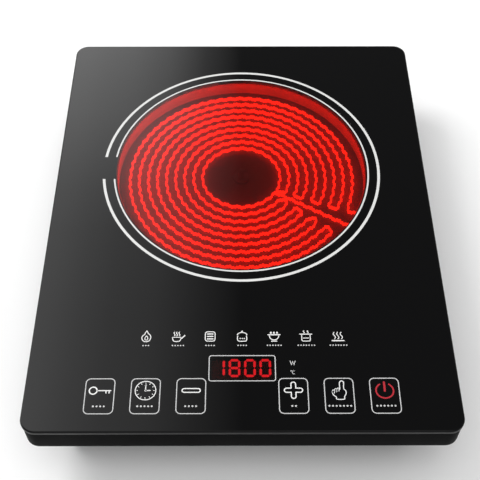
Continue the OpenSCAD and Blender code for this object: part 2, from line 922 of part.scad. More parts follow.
// Places its children on top of the power board, measured from the board's middle
module on_power_board(x, y) {
    translate([power_x + x, power_y + y, power_top])
        children();
}

// A finned extrusion that cools the triac
module heat_sink() {
    color([0.75, 0.76, 0.78])
        on_power_board(30, -24) {
            block([44, 3, 22]);
            for (i = [-5 : 5])
                translate([i * 4, -6, 0])
                    block([1.2, 10, 22]);
        }
}

module triac() {
    color([0.08, 0.08, 0.08])
        on_power_board(30, -20.1) {
            translate([0, 0, 5])
                block([10, 4.8, 15]);
            for (i = [-1 : 1])
                translate([i * 2.6, 0, 0])
                    block([0.9, 0.6, 5]);
        }
}

module relay() {
    color([0.15, 0.25, 0.5])
        on_power_board(28, 4)
            block([28, 13, 16]);
}

module transformer() {
    color([0.75, 0.65, 0.2])
        on_power_board(-6, -12) {
            block([24, 20, 3]);
            translate([0, 0, 3])
                block([22, 14, 14]);
            translate([0, 0, 6])
                block([15, 18, 8]);
        }
}

module line_choke() {
    color([0.7, 0.35, 0.15])
        on_power_board(-30, 8) {
            block([18, 18, 1.5]);
            rotate_extrude($fn = 48)
                translate([8, 4.8])
                    circle(4, $fn = 24);
        }
}

module x_capacitor() {
    color([0.85, 0.75, 0.15])
        on_power_board(-46, -14)
            block([10, 26, 18]);
}

module smoothing_capacitors() {
    color([0.1, 0.1, 0.3])
        for (i = [0, 1])
            on_power_board(-26, -32 + 16 * i)
                cylinder(r = 6, h = 20);
}

// A cartridge fuse between two clips
module fuse() {
    color([0.85, 0.85, 0.8])
        on_power_board(-30, 30) {
            for (sx = [-1, 1])
                translate([sx * 9, 0, 0])
                    block([4, 7, 5]);
            translate([-10, 0, 5])
                rotate([0, 90, 0])
                    cylinder(r = 2.5, h = 20);
        }
}

module varistor() {
    color([0.2, 0.3, 0.7])
        on_power_board(-8, 24)
            translate([0, 2, 7])
                rotate([90, 0, 0])
                    cylinder(r = 7, h = 4);
}

module buzzer() {
    color([0.06, 0.06, 0.06])
        on_power_board(54, -10)
            tube(6, 1, 9);
}

// The connectors for the mains, the heater, the fan and the control board
module board_connectors() {
    color([0.92, 0.92, 0.9]) {
        on_power_board(mains_plug_x, plug_y)
            block([14, plug_d, 10]);
        on_power_board(heater_plug_x, plug_y)
            block([12, plug_d, 10]);
        on_power_board(fan_plug[0], fan_plug[1])
            block([6, 8, 8]);
        translate([ribbon_x, power_y + power_d / 2 - 10, power_top])
            block([ribbon_w + 4, 6, 8]);
    }
}

module mains_terminal_block() {
    color([0.92, 0.92, 0.9])
        translate([mains_x, mains_y, floor_z + mains_lift])
            difference() {
                block(mains_size);
                for (i = [-1 : 1])
                    translate([i * mains_pitch, 0, mains_slot_z])
                        block([4.6, mains_size[1] + 1, 6]);
                for (sx = [-1, 1])
                    translate([sx * mains_screw_x, 0, -eps])
                        cylinder(r = small_screw_r + 0.2, h = mains_size[2] + 2 * eps);
            }
}

module mains_block_screws() {
    color([0.6, 0.6, 0.62])
        for (sx = [-1, 1])
            translate([mains_x + sx * mains_screw_x, mains_y, floor_z + mains_lift + mains_size[2]])
                screw_down(mains_size[2] + mains_lift + 1, small_screw_r, small_head_r, small_head_h);
}

// Live and neutral, along the left wall from the terminal block to the power board
module mains_wires() {
    end = [power_x + mains_plug_x - lead_gap / 2, power_y + plug_y + plug_d / 2, power_top + plug_wire_h];
    start = [mains_x - mains_pitch, mains_y - mains_size[1] / 2 + 4, mains_wire_z];
    color([0.35, 0.2, 0.1])
        for (i = [0, 1])
            let (dx = [lead_gap * i, 0, 0], pole = [mains_pitch * i, 0, 0])
            wire(bent([
                start + pole,
                start + pole + [0, -16, 0],
                [4 - inner_x, mains_y - 40, floor_z + 6] + dx,
                [4 - inner_x, shield_y + 20, floor_z + 6] + dx,
                [end[0], shield_y + 6, end[2]] + dx,
                end + dx
            ]), lead_r);
}

// Earth, from the terminal block up to the rim of the dish
module earth_lead() {
    angle = 141;
    tab = [dish_r * cos(angle), zone_y + dish_r * sin(angle), dish_z + 9];
    start = [mains_x + mains_pitch, mains_y - mains_size[1] / 2 + 4, mains_wire_z];
    color([0.5, 0.65, 0.15])
        wire(bent([start, start + [0, -9, 0], tab + 9 * unit(tab - [0, zone_y, tab[2]]), tab]), lead_r);
}

// The carrier of the control board, hung from the frame by its two ears
module control_tray() {
    rim_h = 3;
    color([0.9, 0.9, 0.88])
        translate([0, 0, tray_z])
            difference() {
                union() {
                    translate([0, control_y, 0])
                        block([control_w + 5, control_d + 3, tray_t]);
                    translate([0, control_y, 0])
                        difference() {
                            block([control_w + 5, control_d + 3, rim_h]);
                            translate([0, 0, -eps])
                                block([control_w + 1, control_d + 1, rim_h + 2 * eps]);
                        }
                    translate([0, (ear_y[0] + ear_y[1]) / 2, 0])
                        block([2 * rail_x + 8, ear_y[1] - ear_y[0] + 9, tray_t]);
                    translate([0, control_y, tray_t])
                        at_corners(control_hole_x, control_hole_y)
                            cylinder(r = 2.4, h = tray_gap);
                }
                at_points(ear_points)
                    translate([0, 0, -eps])
                        cylinder(r = screw_hole_r, h = tray_t + 2 * eps);
                translate([0, control_y, -eps])
                    at_corners(control_hole_x, control_hole_y)
                        cylinder(r = small_screw_r, h = tray_t + tray_gap + 2 * eps);
                for (i = [-4 : 4])
                    translate([i * 20, control_y, -eps])
                        block([12, control_d - 16, tray_t + 2 * eps]);
            }
}

module control_board() {
    color([0.1, 0.35, 0.2])
        translate([0, control_y, control_z])
            difference() {
                block([control_w, control_d, board_t]);
                translate([0, 0, -eps])
                    at_corners(control_hole_x, control_hole_y)
                        cylinder(r = small_screw_r + 0.2, h = board_t + 2 * eps);
            }
}

module control_board_screws() {
    color([0.6, 0.6, 0.62])
        translate([0, control_y, control_top])
            at_corners(control_hole_x, control_hole_y)
                screw_down(board_t + tray_gap + tray_t, small_screw_r, small_head_r, small_head_h);
}

module tray_screws() {
    color([0.6, 0.6, 0.62])
        at_points(ear_points)
            translate([0, 0, tray_z])
                screw_up(tray_t + 5);
}

// The four digits' housing, with a well for each digit
module display_module() {
    color([0.1, 0.1, 0.11])
        translate([0, display_y, display_z])
            difference() {
                block([display_w, display_d, display_h]);
                for (i = [-1.5 : 1.5])
                    translate([i * display_w / 4, 0, display_h - 1])
                        block([display_w / 4 - 2, display_d - 4, 1 + eps]);
            }
}

// The small lamps behind the function symbols
module function_lights() {
    color([0.95, 0.9, 0.8])
        for (i = [0 : lights - 1])
            translate([(i - (lights - 1) / 2) * light_pitch, lights_y, control_top])
                block([3.2, 1.6, 1.2]);
}

module controller_chip() {
    color([0.05, 0.05, 0.05])
        translate([display_w / 2 + 22, display_y + 3, control_top]) {
            block([10, 10, 1.6]);
            for (i = [-3 : 3])
                translate([i * 1.3, 0, 0])
                    block([0.5, 12.4, 0.6]);
        }
}

// One touch spring under each key, pressed against the glass
module touch_springs() {
    color([0.8, 0.75, 0.6])
        for (x = keys_x)
            translate([x, key_y, control_top])
                coil_spring(touch_r, touch_wire_r, touch_h, 3, 12, 6);
}

// The flat cable that joins the two boards
module ribbon_cable() {
    back = control_back;
    connector_y = power_y + power_d / 2 - 10;
    lane_y = max(back + 3, connector_y - 6);
    color([0.8, 0.8, 0.78])
        translate([ribbon_x, 0, 0]) {
            translate([-ribbon_w / 2, back, control_z])
                cube([ribbon_w, lane_y - back + ribbon_t2, ribbon_t2]);
            translate([-ribbon_w / 2, lane_y, power_top + 10])
                cube([ribbon_w, ribbon_t2, control_z + ribbon_t2 - power_top - 10]);
            translate([-ribbon_w / 2, min(lane_y, connector_y), power_top + 10])
                cube([ribbon_w, abs(connector_y - lane_y) + ribbon_t2, ribbon_t2]);
            translate([-ribbon_w / 2, connector_y, power_top + 8])
                cube([ribbon_w, ribbon_t2, 2 + ribbon_t2]);
        }
}

glass_plate();
glass_seal();
upper_frame();
bottom_housing();
rubber_feet();
case_screws();
cord_gland();
heater_dish();
insulation_base();
insulation_ring();
heating_element();
element_pins();
heater_terminal_block();
thermal_cutout();
glass_sensor();
heater_springs();
heater_leads();
heat_shield();
shield_screws();
fan_frame();
fan_stator();
fan_bearing();
fan_impeller();
fan_shaft();
fan_magnet();
fan_screws();
fan_lead();
power_board();
power_board_screws();
heat_sink();
triac();
relay();
transformer();
line_choke();
x_capacitor();
smoothing_capacitors();
fuse();
varistor();
buzzer();
board_connectors();
mains_terminal_block();
mains_block_screws();
mains_wires();
earth_lead();
control_tray();
control_board();
control_board_screws();
tray_screws();
display_module();
function_lights();
controller_chip();
touch_springs();
ribbon_cable();
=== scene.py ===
# %% [markdown]
# # A single hob, from the inside out
#
# This lesson dresses a finished CAD model of a free-standing radiant hob. The CAD model fixes
# every size and joint. Here each visible piece gets its true form and its finish: a black
# glass-ceramic plate with printed keys, a glowing ribbon element under it, and a moulded casing.
#
# The CAD model comes in first, because every later place is worked out from it.

import math

import bmesh
import bpy
from mathutils import Matrix, Vector
from mathutils.geometry import tessellate_polygon


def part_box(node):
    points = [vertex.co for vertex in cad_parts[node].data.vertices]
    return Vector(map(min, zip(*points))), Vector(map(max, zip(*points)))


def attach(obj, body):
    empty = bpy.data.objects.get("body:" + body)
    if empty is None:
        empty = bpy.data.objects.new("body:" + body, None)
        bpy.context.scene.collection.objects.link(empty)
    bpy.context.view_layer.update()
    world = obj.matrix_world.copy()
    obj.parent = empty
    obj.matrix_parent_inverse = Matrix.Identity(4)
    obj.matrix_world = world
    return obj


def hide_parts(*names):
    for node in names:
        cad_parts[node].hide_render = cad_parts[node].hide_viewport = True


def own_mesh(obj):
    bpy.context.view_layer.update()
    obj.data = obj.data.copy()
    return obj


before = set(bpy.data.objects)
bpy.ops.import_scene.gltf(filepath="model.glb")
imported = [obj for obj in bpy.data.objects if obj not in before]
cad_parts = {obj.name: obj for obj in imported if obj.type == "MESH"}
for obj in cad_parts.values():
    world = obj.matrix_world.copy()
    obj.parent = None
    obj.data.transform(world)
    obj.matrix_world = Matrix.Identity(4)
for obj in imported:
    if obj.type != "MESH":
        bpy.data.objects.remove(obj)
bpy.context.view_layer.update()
MM = 0.001

# %% [markdown]
# ## Landmarks
#
# A maker marks out before cutting. These few values are read from the CAD boxes, so that a
# printed ring or a lamp lands on the part that it belongs to even if the hob's size changes.

# %% Landmarks from the frame
glass_low, glass_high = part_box("glass_plate")
dish_low, dish_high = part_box("heater_dish")
ring_low, ring_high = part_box("insulation_ring")
ribbon_low, ribbon_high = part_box("heating_element")
display_low, display_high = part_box("display_module")
springs_low, springs_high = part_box("touch_springs")
lamps_low, lamps_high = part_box("function_lights")

GLASS_TOP = glass_high.z
GLASS_UNDER = glass_low.z
GLASS_WIDE = glass_high.x - glass_low.x
GLASS_DEEP = glass_high.y - glass_low.y
ZONE = (dish_low + dish_high) / 2
KEY_ROW = (springs_low.y + springs_high.y) / 2
DISPLAY = (display_low + display_high) / 2
LAMP_ROW = (lamps_low.y + lamps_high.y) / 2
print("zone centre", tuple(round(v, 4) for v in ZONE), "key row", round(KEY_ROW, 4))

# %% [markdown]
# ## The camera
#
# The camera comes before the shapes, since every later choice is judged through it. It looks
# down at 53 degrees from in front, close to the hob and with a lens of about 68 mm, so the glass
# narrows clearly towards the rear.

# %% Camera
LENS = 68.4
LOOK_DOWN = math.radians(53.02)
TURN = math.radians(-0.145)
EYE = Vector((-0.0022, -0.4248, GLASS_TOP + 0.525))

camera_data = bpy.data.cameras.new("camera")
camera_data.lens = LENS
camera_data.sensor_width = 36
camera_data.clip_start = 0.01
camera = bpy.data.objects.new("camera", camera_data)
camera.location = EYE
camera.rotation_euler = (math.pi / 2 - LOOK_DOWN, 0, TURN)
bpy.context.scene.collection.objects.link(camera)
bpy.context.scene.camera = camera
bpy.context.scene.view_settings.view_transform = "Standard"
print("camera", tuple(round(v, 3) for v in EYE), "lens", LENS)

# %% [markdown]
# ## Helpers for node trees
#
# Every finish below is a small network of nodes. A few helpers keep those networks readable: they
# add a node with its values, join sockets, start a group and do sums.

# %% Node helpers
def set_values(made, **values):
    """Sets what is named on a node: a property, or an input's default value."""
    for key, value in values.items():
        if hasattr(made, key):
            setattr(made, key, value)
        else:
            made.inputs[key.replace("_", " ")].default_value = value


def node(tree, kind, **values):
    """Adds one node and sets its values."""
    made = tree.nodes.new(kind)
    set_values(made, **values)
    return made


def join(tree, *links):
    """Makes links. Each starts with a socket, or with a node and the name of its output. Each ends
    with a node and the name of its input."""
    for *source, target, name in links:
        start = source[0].outputs[source[1]] if len(source) == 2 else source[0]
        tree.links.new(start, target.inputs[name])


def socket_type(value):
    """The kind of socket that holds a value: a kind's own name, a colour, a vector or a number."""
    if isinstance(value, str):
        return "NodeSocket" + value
    if isinstance(value, tuple):
        return "NodeSocketColor" if len(value) == 4 else "NodeSocketVector"
    return "NodeSocketInt" if isinstance(value, int) else "NodeSocketFloat"


def group_tree(name, inputs, outputs, kind="ShaderNodeTree"):
    """Starts a node group with named sockets and returns it with its input and output nodes."""
    tree = bpy.data.node_groups.new(name, kind)
    for label, value in inputs.items():
        made = tree.interface.new_socket(label.replace("_", " "), in_out="INPUT",
                                         socket_type=socket_type(value))
        if not isinstance(value, str):
            made.default_value = value
    for label in outputs:
        given = label if label in ("Color", "Geometry") else "Float"
        tree.interface.new_socket(label, in_out="OUTPUT", socket_type="NodeSocket" + given)
    return tree, node(tree, "NodeGroupInput"), node(tree, "NodeGroupOutput")


def math_node(tree, operation, first, second=None, third=None, clamp=False):
    """One Math node. Each operand is a number or a socket. Returns the result's socket."""
    made = node(tree, "ShaderNodeMath", operation=operation, use_clamp=clamp)
    for index, operand in enumerate((first, second, third)):
        if operand is None:
            continue
        if isinstance(operand, (int, float)):
            made.inputs[index].default_value = operand
        else:
            tree.links.new(operand, made.inputs[index])
    return made.outputs[0]


# %% [markdown]
# ## Three shared effects
#
# Many finishes on one appliance share the same small faults. `surface_grain` gives the fine
# texture and slight unevenness of a moulded or printed surface. `drawn_lines` gives the fine
# parallel lines of rolled or brushed metal. `wound_turns` gives the regular ridges of a winding,
# a braid or a flat cable. Each is built once as a group and placed in every material that needs it.

# %% Shared shader groups
def surface_grain():
    """Colour, roughness and height that vary with a fine grain and a slow drift."""
    tree, given, result = group_tree(
        "surface_grain",
        dict(Color=(0.5, 0.5, 0.5, 1), Grain=1500.0, Spread=0.1, Roughness=0.5,
             Roughness_Spread=0.1),
        ("Color", "Roughness", "Height"))
    place = node(tree, "ShaderNodeTexCoord")
    fine = node(tree, "ShaderNodeTexNoise", Detail=3.0)
    slow = node(tree, "ShaderNodeTexNoise", Scale=22.0, Detail=2.0)
    join(tree, (place, "Object", fine, "Vector"), (given, "Grain", fine, "Scale"),
         (place, "Object", slow, "Vector"))
    drift = math_node(tree, "MULTIPLY_ADD", slow.outputs["Fac"], 0.6,
                      math_node(tree, "MULTIPLY", fine.outputs["Fac"], 0.4))
    off = math_node(tree, "SUBTRACT", drift, 0.5)
    shade = math_node(tree, "MULTIPLY_ADD",
                      math_node(tree, "MULTIPLY", off, given.outputs["Spread"]), 4.0, 1.0)
    tint = node(tree, "ShaderNodeVectorMath", operation="SCALE")
    join(tree, (given, "Color", tint, 0), (shade, tint, "Scale"))
    rough = math_node(tree, "MULTIPLY_ADD",
                      math_node(tree, "MULTIPLY", off, given.outputs["Roughness Spread"]), 4.0,
                      given.outputs["Roughness"], clamp=True)
    join(tree, (tint, "Vector", result, "Color"), (rough, result, "Roughness"),
         (fine, "Fac", result, "Height"))
    return tree


def drawn_lines():
    """Fine lines along one axis, as rolling and brushing leave in metal."""
    tree, given, result = group_tree(
        "drawn_lines", dict(Color=(0.6, 0.6, 0.6, 1), Stretch=(40, 2500, 2500), Roughness=0.35),
        ("Color", "Roughness", "Height"))
    place = node(tree, "ShaderNodeTexCoord")
    stretch = node(tree, "ShaderNodeVectorMath", operation="MULTIPLY")
    lines = node(tree, "ShaderNodeTexNoise", Scale=1.0, Detail=4.0)
    stains = node(tree, "ShaderNodeTexNoise", Scale=60.0, Detail=3.0)
    join(tree, (place, "Object", stretch, 0), (given, "Stretch", stretch, 1),
         (stretch, "Vector", lines, "Vector"), (place, "Object", stains, "Vector"))
    shade = math_node(tree, "MULTIPLY_ADD", lines.outputs["Fac"], 0.5,
                      math_node(tree, "MULTIPLY_ADD", stains.outputs["Fac"], 0.3, 0.6))
    tint = node(tree, "ShaderNodeVectorMath", operation="SCALE")
    join(tree, (given, "Color", tint, 0), (shade, tint, "Scale"))
    rough = math_node(tree, "MULTIPLY_ADD", lines.outputs["Fac"], 0.3,
                      math_node(tree, "SUBTRACT", given.outputs["Roughness"], 0.15), clamp=True)
    join(tree, (tint, "Vector", result, "Color"), (rough, result, "Roughness"),
         (lines, "Fac", result, "Height"))
    return tree


def wound_turns():
    """Even ridges across one axis: a coil's turns, a braid's strands or a flat cable's wires."""
    tree, given, result = group_tree(
        "wound_turns",
        dict(Color=(0.5, 0.3, 0.1, 1), Groove_Color=(0.1, 0.05, 0.02, 1), Turns=(0, 0, 1500),
             Uneven=0.5),
        ("Color", "Height"))
    place = node(tree, "ShaderNodeTexCoord")
    along = node(tree, "ShaderNodeVectorMath", operation="DOT_PRODUCT")
    noise = node(tree, "ShaderNodeTexNoise", Scale=300.0, Detail=2.0)
    join(tree, (place, "Object", along, 0), (given, "Turns", along, 1),
         (place, "Object", noise, "Vector"))
    wander = math_node(tree, "MULTIPLY", noise.outputs["Fac"], given.outputs["Uneven"])
    wave = math_node(tree, "SINE", math_node(tree, "ADD", along.outputs["Value"], wander))
    ridge = math_node(tree, "MULTIPLY_ADD", wave, 0.5, 0.5)
    mix = node(tree, "ShaderNodeMix", data_type="RGBA")
    join(tree, (ridge, mix, "Factor"), (given, "Groove Color", mix, 6), (given, "Color", mix, 7),
         (mix, 2, result, "Color"), (ridge, result, "Height"))
    return tree


GRAIN = surface_grain()
LINES = drawn_lines()
TURNS = wound_turns()
print("shader groups:", [tree.name for tree in bpy.data.node_groups])

# %% [markdown]
# ## Finishes
#
# A finish is a Principled shader fed by one of those groups. The numbers that are the same all
# over a surface, such as the index of refraction, are set on the shader itself. The three makers
# below cover moulded and painted pieces, metals, and windings.

# %% Makers of finishes
def start_finish(name):
    """An empty material with its Principled shader. Returns it, its tree and the shader."""
    material = bpy.data.materials.new(name)
    material.use_nodes = True
    tree = material.node_tree
    return material, tree, tree.nodes["Principled BSDF"]


def raise_surface(tree, shader, height, strength, depth=0.0001):
    """Feeds a height to the shader's normal through a Bump node."""
    bump = node(tree, "ShaderNodeBump", Strength=strength, Distance=depth)
    join(tree, (height, bump, "Height"), (bump, "Normal", shader, "Normal"))


def grained(name, colour, rough, grain=1500.0, spread=0.08, uneven=0.1, bump=0.2, metal=0.0,
            coat=0.0):
    """A moulded, painted, printed or fired surface."""
    material, tree, shader = start_finish(name)
    effect = node(tree, "ShaderNodeGroup", node_tree=GRAIN, Color=(*colour, 1), Grain=grain,
                  Spread=spread, Roughness=rough, Roughness_Spread=uneven)
    join(tree, (effect, "Color", shader, "Base Color"), (effect, "Roughness", shader, "Roughness"))
    set_values(shader, Metallic=metal, Coat_Weight=coat)
    raise_surface(tree, shader, effect.outputs["Height"], bump)
    return material


def metal_lined(name, colour, rough, stretch=(40, 2500, 2500), bump=0.15):
    """A rolled, drawn or brushed metal."""
    material, tree, shader = start_finish(name)
    effect = node(tree, "ShaderNodeGroup", node_tree=LINES, Color=(*colour, 1), Stretch=stretch,
                  Roughness=rough)
    join(tree, (effect, "Color", shader, "Base Color"), (effect, "Roughness", shader, "Roughness"))
    set_values(shader, Metallic=1.0)
    raise_surface(tree, shader, effect.outputs["Height"], bump)
    return material


def wound(name, colour, groove, turns, rough=0.4, metal=0.0, uneven=0.5, bump=0.6):
    """A winding, braid or flat cable."""
    material, tree, shader = start_finish(name)
    effect = node(tree, "ShaderNodeGroup", node_tree=TURNS, Color=(*colour, 1),
                  Groove_Color=(*groove, 1), Turns=turns, Uneven=uneven)
    join(tree, (effect, "Color", shader, "Base Color"))
    set_values(shader, Roughness=rough, Metallic=metal)
    raise_surface(tree, shader, effect.outputs["Height"], bump, 0.0002)
    return material


# %% [markdown]
# ## Helpers for meshes
#
# Most outside pieces of a slim appliance are a rounded rectangle drawn at several heights and
# joined up: a plate, a skirt, a tub. `loft` does that from a list of sections. `lathe` turns a
# profile round an upright axis, for feet, bosses and bushings. Both return closed meshes whose
# faces point outwards.

# %% Mesh helpers
def add_object(name, data):
    """Makes an object of some data and links it into the scene."""
    made = bpy.data.objects.new(name, data)
    bpy.context.scene.collection.objects.link(made)
    return made


def evaluated(holder):
    """The plain mesh that an object's modifiers make. The object itself is cleared away."""
    bpy.context.view_layer.update()
    depsgraph = bpy.context.evaluated_depsgraph_get()
    mesh = bpy.data.meshes.new_from_object(holder.evaluated_get(depsgraph), depsgraph=depsgraph)
    holder.modifiers.clear()
    bpy.data.objects.remove(holder)
    return mesh


def piece(name, mesh, body, slot, *materials, replaces=()):
    """Makes an object of a mesh at the origin, gives it its finishes and hangs it on a body."""
    assert mesh.polygons, f"{name} has no faces"
    made = add_object(name, mesh)
    for material in materials:
        if material.name not in [m.name for m in mesh.materials if m]:
            mesh.materials.append(material)
    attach(made, body)
    if replaces:
        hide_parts(*replaces)
    return made


def to_mesh(bm, name, smooth_angle=35):
    """Closes a bmesh into a mesh, with its normals outwards and its sharp edges kept."""
    bmesh.ops.recalc_face_normals(bm, faces=bm.faces)
    mesh = bpy.data.meshes.new(name)
    bm.to_mesh(mesh)
    bm.free()
    mesh.shade_smooth()
    mesh.set_sharp_from_angle(angle=math.radians(smooth_angle))
    return mesh


def rounded_loop(wide, deep, radius, steps=10):
    """Points of a rounded rectangle round the origin, anticlockwise."""
    points = []
    for corner, (sx, sy) in enumerate(((1, 1), (-1, 1), (-1, -1), (1, -1))):
        for step in range(steps + 1):
            angle = math.radians(90 * corner + 90 * step / steps)
            points.append((sx * (wide / 2 - radius) + radius * math.cos(angle),
                           sy * (deep / 2 - radius) + radius * math.sin(angle)))
    return points


def bridge(bm, loops, closed):
    """Fills between neighbouring loops of vertices."""
    count = len(loops[0])
    spans = zip(loops, loops[1:] + loops[:1]) if closed else zip(loops, loops[1:])
    for low, high in spans:
        for i in range(count):
            bm.faces.new((low[i], low[(i + 1) % count], high[(i + 1) % count], high[i]))


def loft(sections, ring=False, centre=(0, 0), steps=10):
    """Joins rounded rectangles, each given as (width, depth, corner radius, height).
    A ring's last section joins its first; otherwise the first and last are capped."""
    bm = bmesh.new()
    loops = [[bm.verts.new((centre[0] + x, centre[1] + y, z)) for x,
              y in rounded_loop(w, d, r, steps)]
             for w, d, r, z in sections]
    bridge(bm, loops, ring)
    if not ring:
        bm.faces.new(loops[0][::-1])
        bm.faces.new(loops[-1])
    return bm


def lathe(bm, profile, centre, segments=32):
    """Turns a profile of (radius, height) points round an upright axis. Radius 0 closes it."""
    rings = []
    for radius, height in profile:
        if radius == 0:
            rings.append([bm.verts.new((centre[0], centre[1], height))])
            continue
        rings.append([bm.verts.new((centre[0] + radius * math.cos(2 * math.pi * i / segments),
                                    centre[1] + radius * math.sin(2 * math.pi * i / segments),
                                    height))
                      for i in range(segments)])
    for low, high in zip(rings, rings[1:]):
        for i in range(segments):
            j = (i + 1) % segments
            corners = [low[i % len(low)], low[j % len(low)], high[j % len(high)],
                       high[i % len(high)]]
            bm.faces.new(list(dict.fromkeys(corners)))
    return bm


def arc(cx, cy, rx, ry, start, end, steps=10):
    """Points along an arc of an ellipse, its angles in degrees."""
    return [(cx + rx * math.cos(math.radians(start + (end - start) * i / steps)),
             cy + ry * math.sin(math.radians(start + (end - start) * i / steps)))
            for i in range(steps + 1)]


print("mesh helpers ready")

# %% [markdown]
# ## Reading places from the CAD solids
#
# Screws, feet and springs come in sets. Their CAD node holds one loose solid for each, so the
# node itself says where every copy belongs. This helper walks over the joined edges of a node
# and gives the box of each loose solid.

# %% Places of loose solids
def solids(name):
    """The lowest and highest corner of each loose solid in a CAD node, from left to right."""
    bm = bmesh.new()
    bm.from_mesh(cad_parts[name].data)
    bmesh.ops.remove_doubles(bm, verts=bm.verts, dist=1e-6)
    boxes, seen = [], set()
    for first in bm.verts:
        if first in seen:
            continue
        seen.add(first)
        group, waiting = [], [first]
        while waiting:
            vert = waiting.pop()
            group.append(vert.co.copy())
            for edge in vert.link_edges:
                other = edge.other_vert(vert)
                if other not in seen:
                    seen.add(other)
                    waiting.append(other)
        boxes.append((Vector(min(co[k] for co in group) for k in range(3)),
                      Vector(max(co[k] for co in group) for k in range(3))))
    bm.free()
    return sorted(boxes, key=lambda box: (round(box[0].x, 4), round(box[0].y, 4)))


def middle(box):
    """The centre of a box given by two corners."""
    return (box[0] + box[1]) / 2


print("case screws at",
      [tuple(round(v, 3) for v in middle(box)[:2]) for box in solids("case_screws")])

# %% [markdown]
# ## Geometry Nodes for what repeats
#
# A hob repeats itself: key outlines, vent slots, screws, coils, fan blades. Geometry Nodes suit
# these, because a count or a pitch stays one number. `grow` runs such a tree once on a plain
# mesh, keeps the mesh that comes out and throws the modifier away. The first tree puts a copy of
# a pattern on each point.

# %% Running a tree, and copies on points
def start_tree(name, **inputs):
    """A Geometry Nodes tree that takes a mesh and the named inputs, and ends in a realised mesh
    with one material. Returns the tree, its inputs and a function that takes the last geometry."""
    wanted = dict(Geometry="Geometry", **inputs, Finish="Material")
    tree, given, result = group_tree(name, wanted, ("Geometry",), "GeometryNodeTree")

    def finish_with(socket):
        real = node(tree, "GeometryNodeRealizeInstances")
        paint = node(tree, "GeometryNodeSetMaterial")
        join(tree, (socket, real, "Geometry"), (real, "Geometry", paint, "Geometry"),
             (given, "Finish", paint, "Material"), (paint, "Geometry", result, 0))

    return tree, given, finish_with


def grow(name, tree, source, **values):
    """Runs a tree on a mesh and returns the plain mesh that it makes."""
    holder = add_object(name, source)
    modifier = holder.modifiers.new(name, "NODES")
    modifier.node_group = tree
    for item in tree.interface.items_tree:
        key = item.name.replace(" ", "_").lower()
        if item.item_type == "SOCKET" and item.in_out == "INPUT" and key in values:
            modifier[item.identifier] = values.pop(key)
    assert not values, f"{name}: no such input {list(values)}"
    mesh = evaluated(holder)
    print(f"{name}: {len(mesh.vertices)} points, {len(mesh.polygons)} faces")
    return mesh


def points_mesh(points, linked=False):
    """A mesh of points only, or of points joined in a line."""
    mesh = bpy.data.meshes.new("points")
    edges = [(i, i + 1) for i in range(len(points) - 1)] if linked else []
    mesh.from_pydata([tuple(p) for p in points], edges, [])
    return mesh


def copies_on_points():
    tree, given, finish_with = start_tree("copies_on_points", Pattern="Object")
    pattern = node(tree, "GeometryNodeObjectInfo")
    copies = node(tree, "GeometryNodeInstanceOnPoints")
    join(tree, (given, "Pattern", pattern, "Object"), (given, "Geometry", copies, "Points"),
         (pattern, "Geometry", copies, "Instance"))
    finish_with(copies.outputs["Instances"])
    return tree


COPIES = copies_on_points()


def repeat(name, pattern, points, finish, tree=COPIES, **values):
    """Copies a pattern mesh to each point with a tree, and clears the pattern away."""
    holder = add_object(name + "_pattern", pattern)
    mesh = grow(name, tree, points_mesh(points), pattern=holder, finish=finish, **values)
    bpy.data.objects.remove(holder)
    return mesh


# %% [markdown]
# Blades on a hub and ticks on a dial are copies round an axis. This second tree turns each copy
# as it goes round.

# %% Copies round an axis
def copies_round_axis():
    tree, given, finish_with = start_tree("copies_round_axis", Pattern="Object", Count=7,
                                          Radius=0.01)
    pattern = node(tree, "GeometryNodeObjectInfo")
    ring = node(tree, "GeometryNodeMeshCircle")
    index = node(tree, "GeometryNodeInputIndex")
    turn = node(tree, "ShaderNodeCombineXYZ")
    copies = node(tree, "GeometryNodeInstanceOnPoints")
    centres = node(tree, "GeometryNodeInstanceOnPoints")
    step = math_node(tree, "DIVIDE", 2 * math.pi, given.outputs["Count"])
    join(tree, (math_node(tree, "MULTIPLY", index.outputs[0], step), turn, "Z"),
         (given, "Pattern", pattern, "Object"), (given, "Count", ring, "Vertices"),
         (given, "Radius", ring, "Radius"), (ring, "Mesh", copies, "Points"),
         (pattern, "Geometry", copies, "Instance"), (turn, "Vector", copies, "Rotation"),
         (given, "Geometry", centres, "Points"), (copies, "Instances", centres, "Instance"))
    finish_with(centres.outputs["Instances"])
    return tree


ROUND = copies_round_axis()
print("trees:", COPIES.name, ROUND.name)

# %% [markdown]
# ## The glass plate
#
# The plate is one sheet of dark glass-ceramic, 4 mm thick, with a ground edge. Its underside is
# printed black except for a round window over the heater and a small one over the display. So
# one closed mesh does it: the faces of the two windows get a clear red-brown glass and the rest
# of the flats a black one. The rim gets two, a dull ground one below and a darker one round its
# upper edge. A sheet cut in pieces would show its joints as bright lines.

# %% Finishes of the glass
def smudge_mask(tree, low, high):
    """A faint wipe pattern between two roughness values."""
    place = node(tree, "ShaderNodeTexCoord")
    cloud = node(tree, "ShaderNodeTexNoise", Scale=9.0, Detail=3.0, Distortion=1.2)
    spread = node(tree, "ShaderNodeMapRange", To_Min=low, To_Max=high)
    join(tree, (place, "Object", cloud, "Vector"), (cloud, "Fac", spread, "Value"))
    return spread.outputs["Result"]


def polished(name, colour, low=0.01, high=0.05, clear=False):
    """Polished glass: black and opaque, or clear with a tint."""
    material, tree, shader = start_finish(name)
    effect = node(tree, "ShaderNodeGroup", node_tree=GRAIN, Color=(*colour, 1), Grain=300.0,
                  Spread=0.03)
    join(tree, (effect, "Color", shader, "Base Color"),
         (smudge_mask(tree, low, high), shader, "Roughness"))
    set_values(shader, IOR=1.5, Transmission_Weight=1.0 if clear else 0.0)
    return material


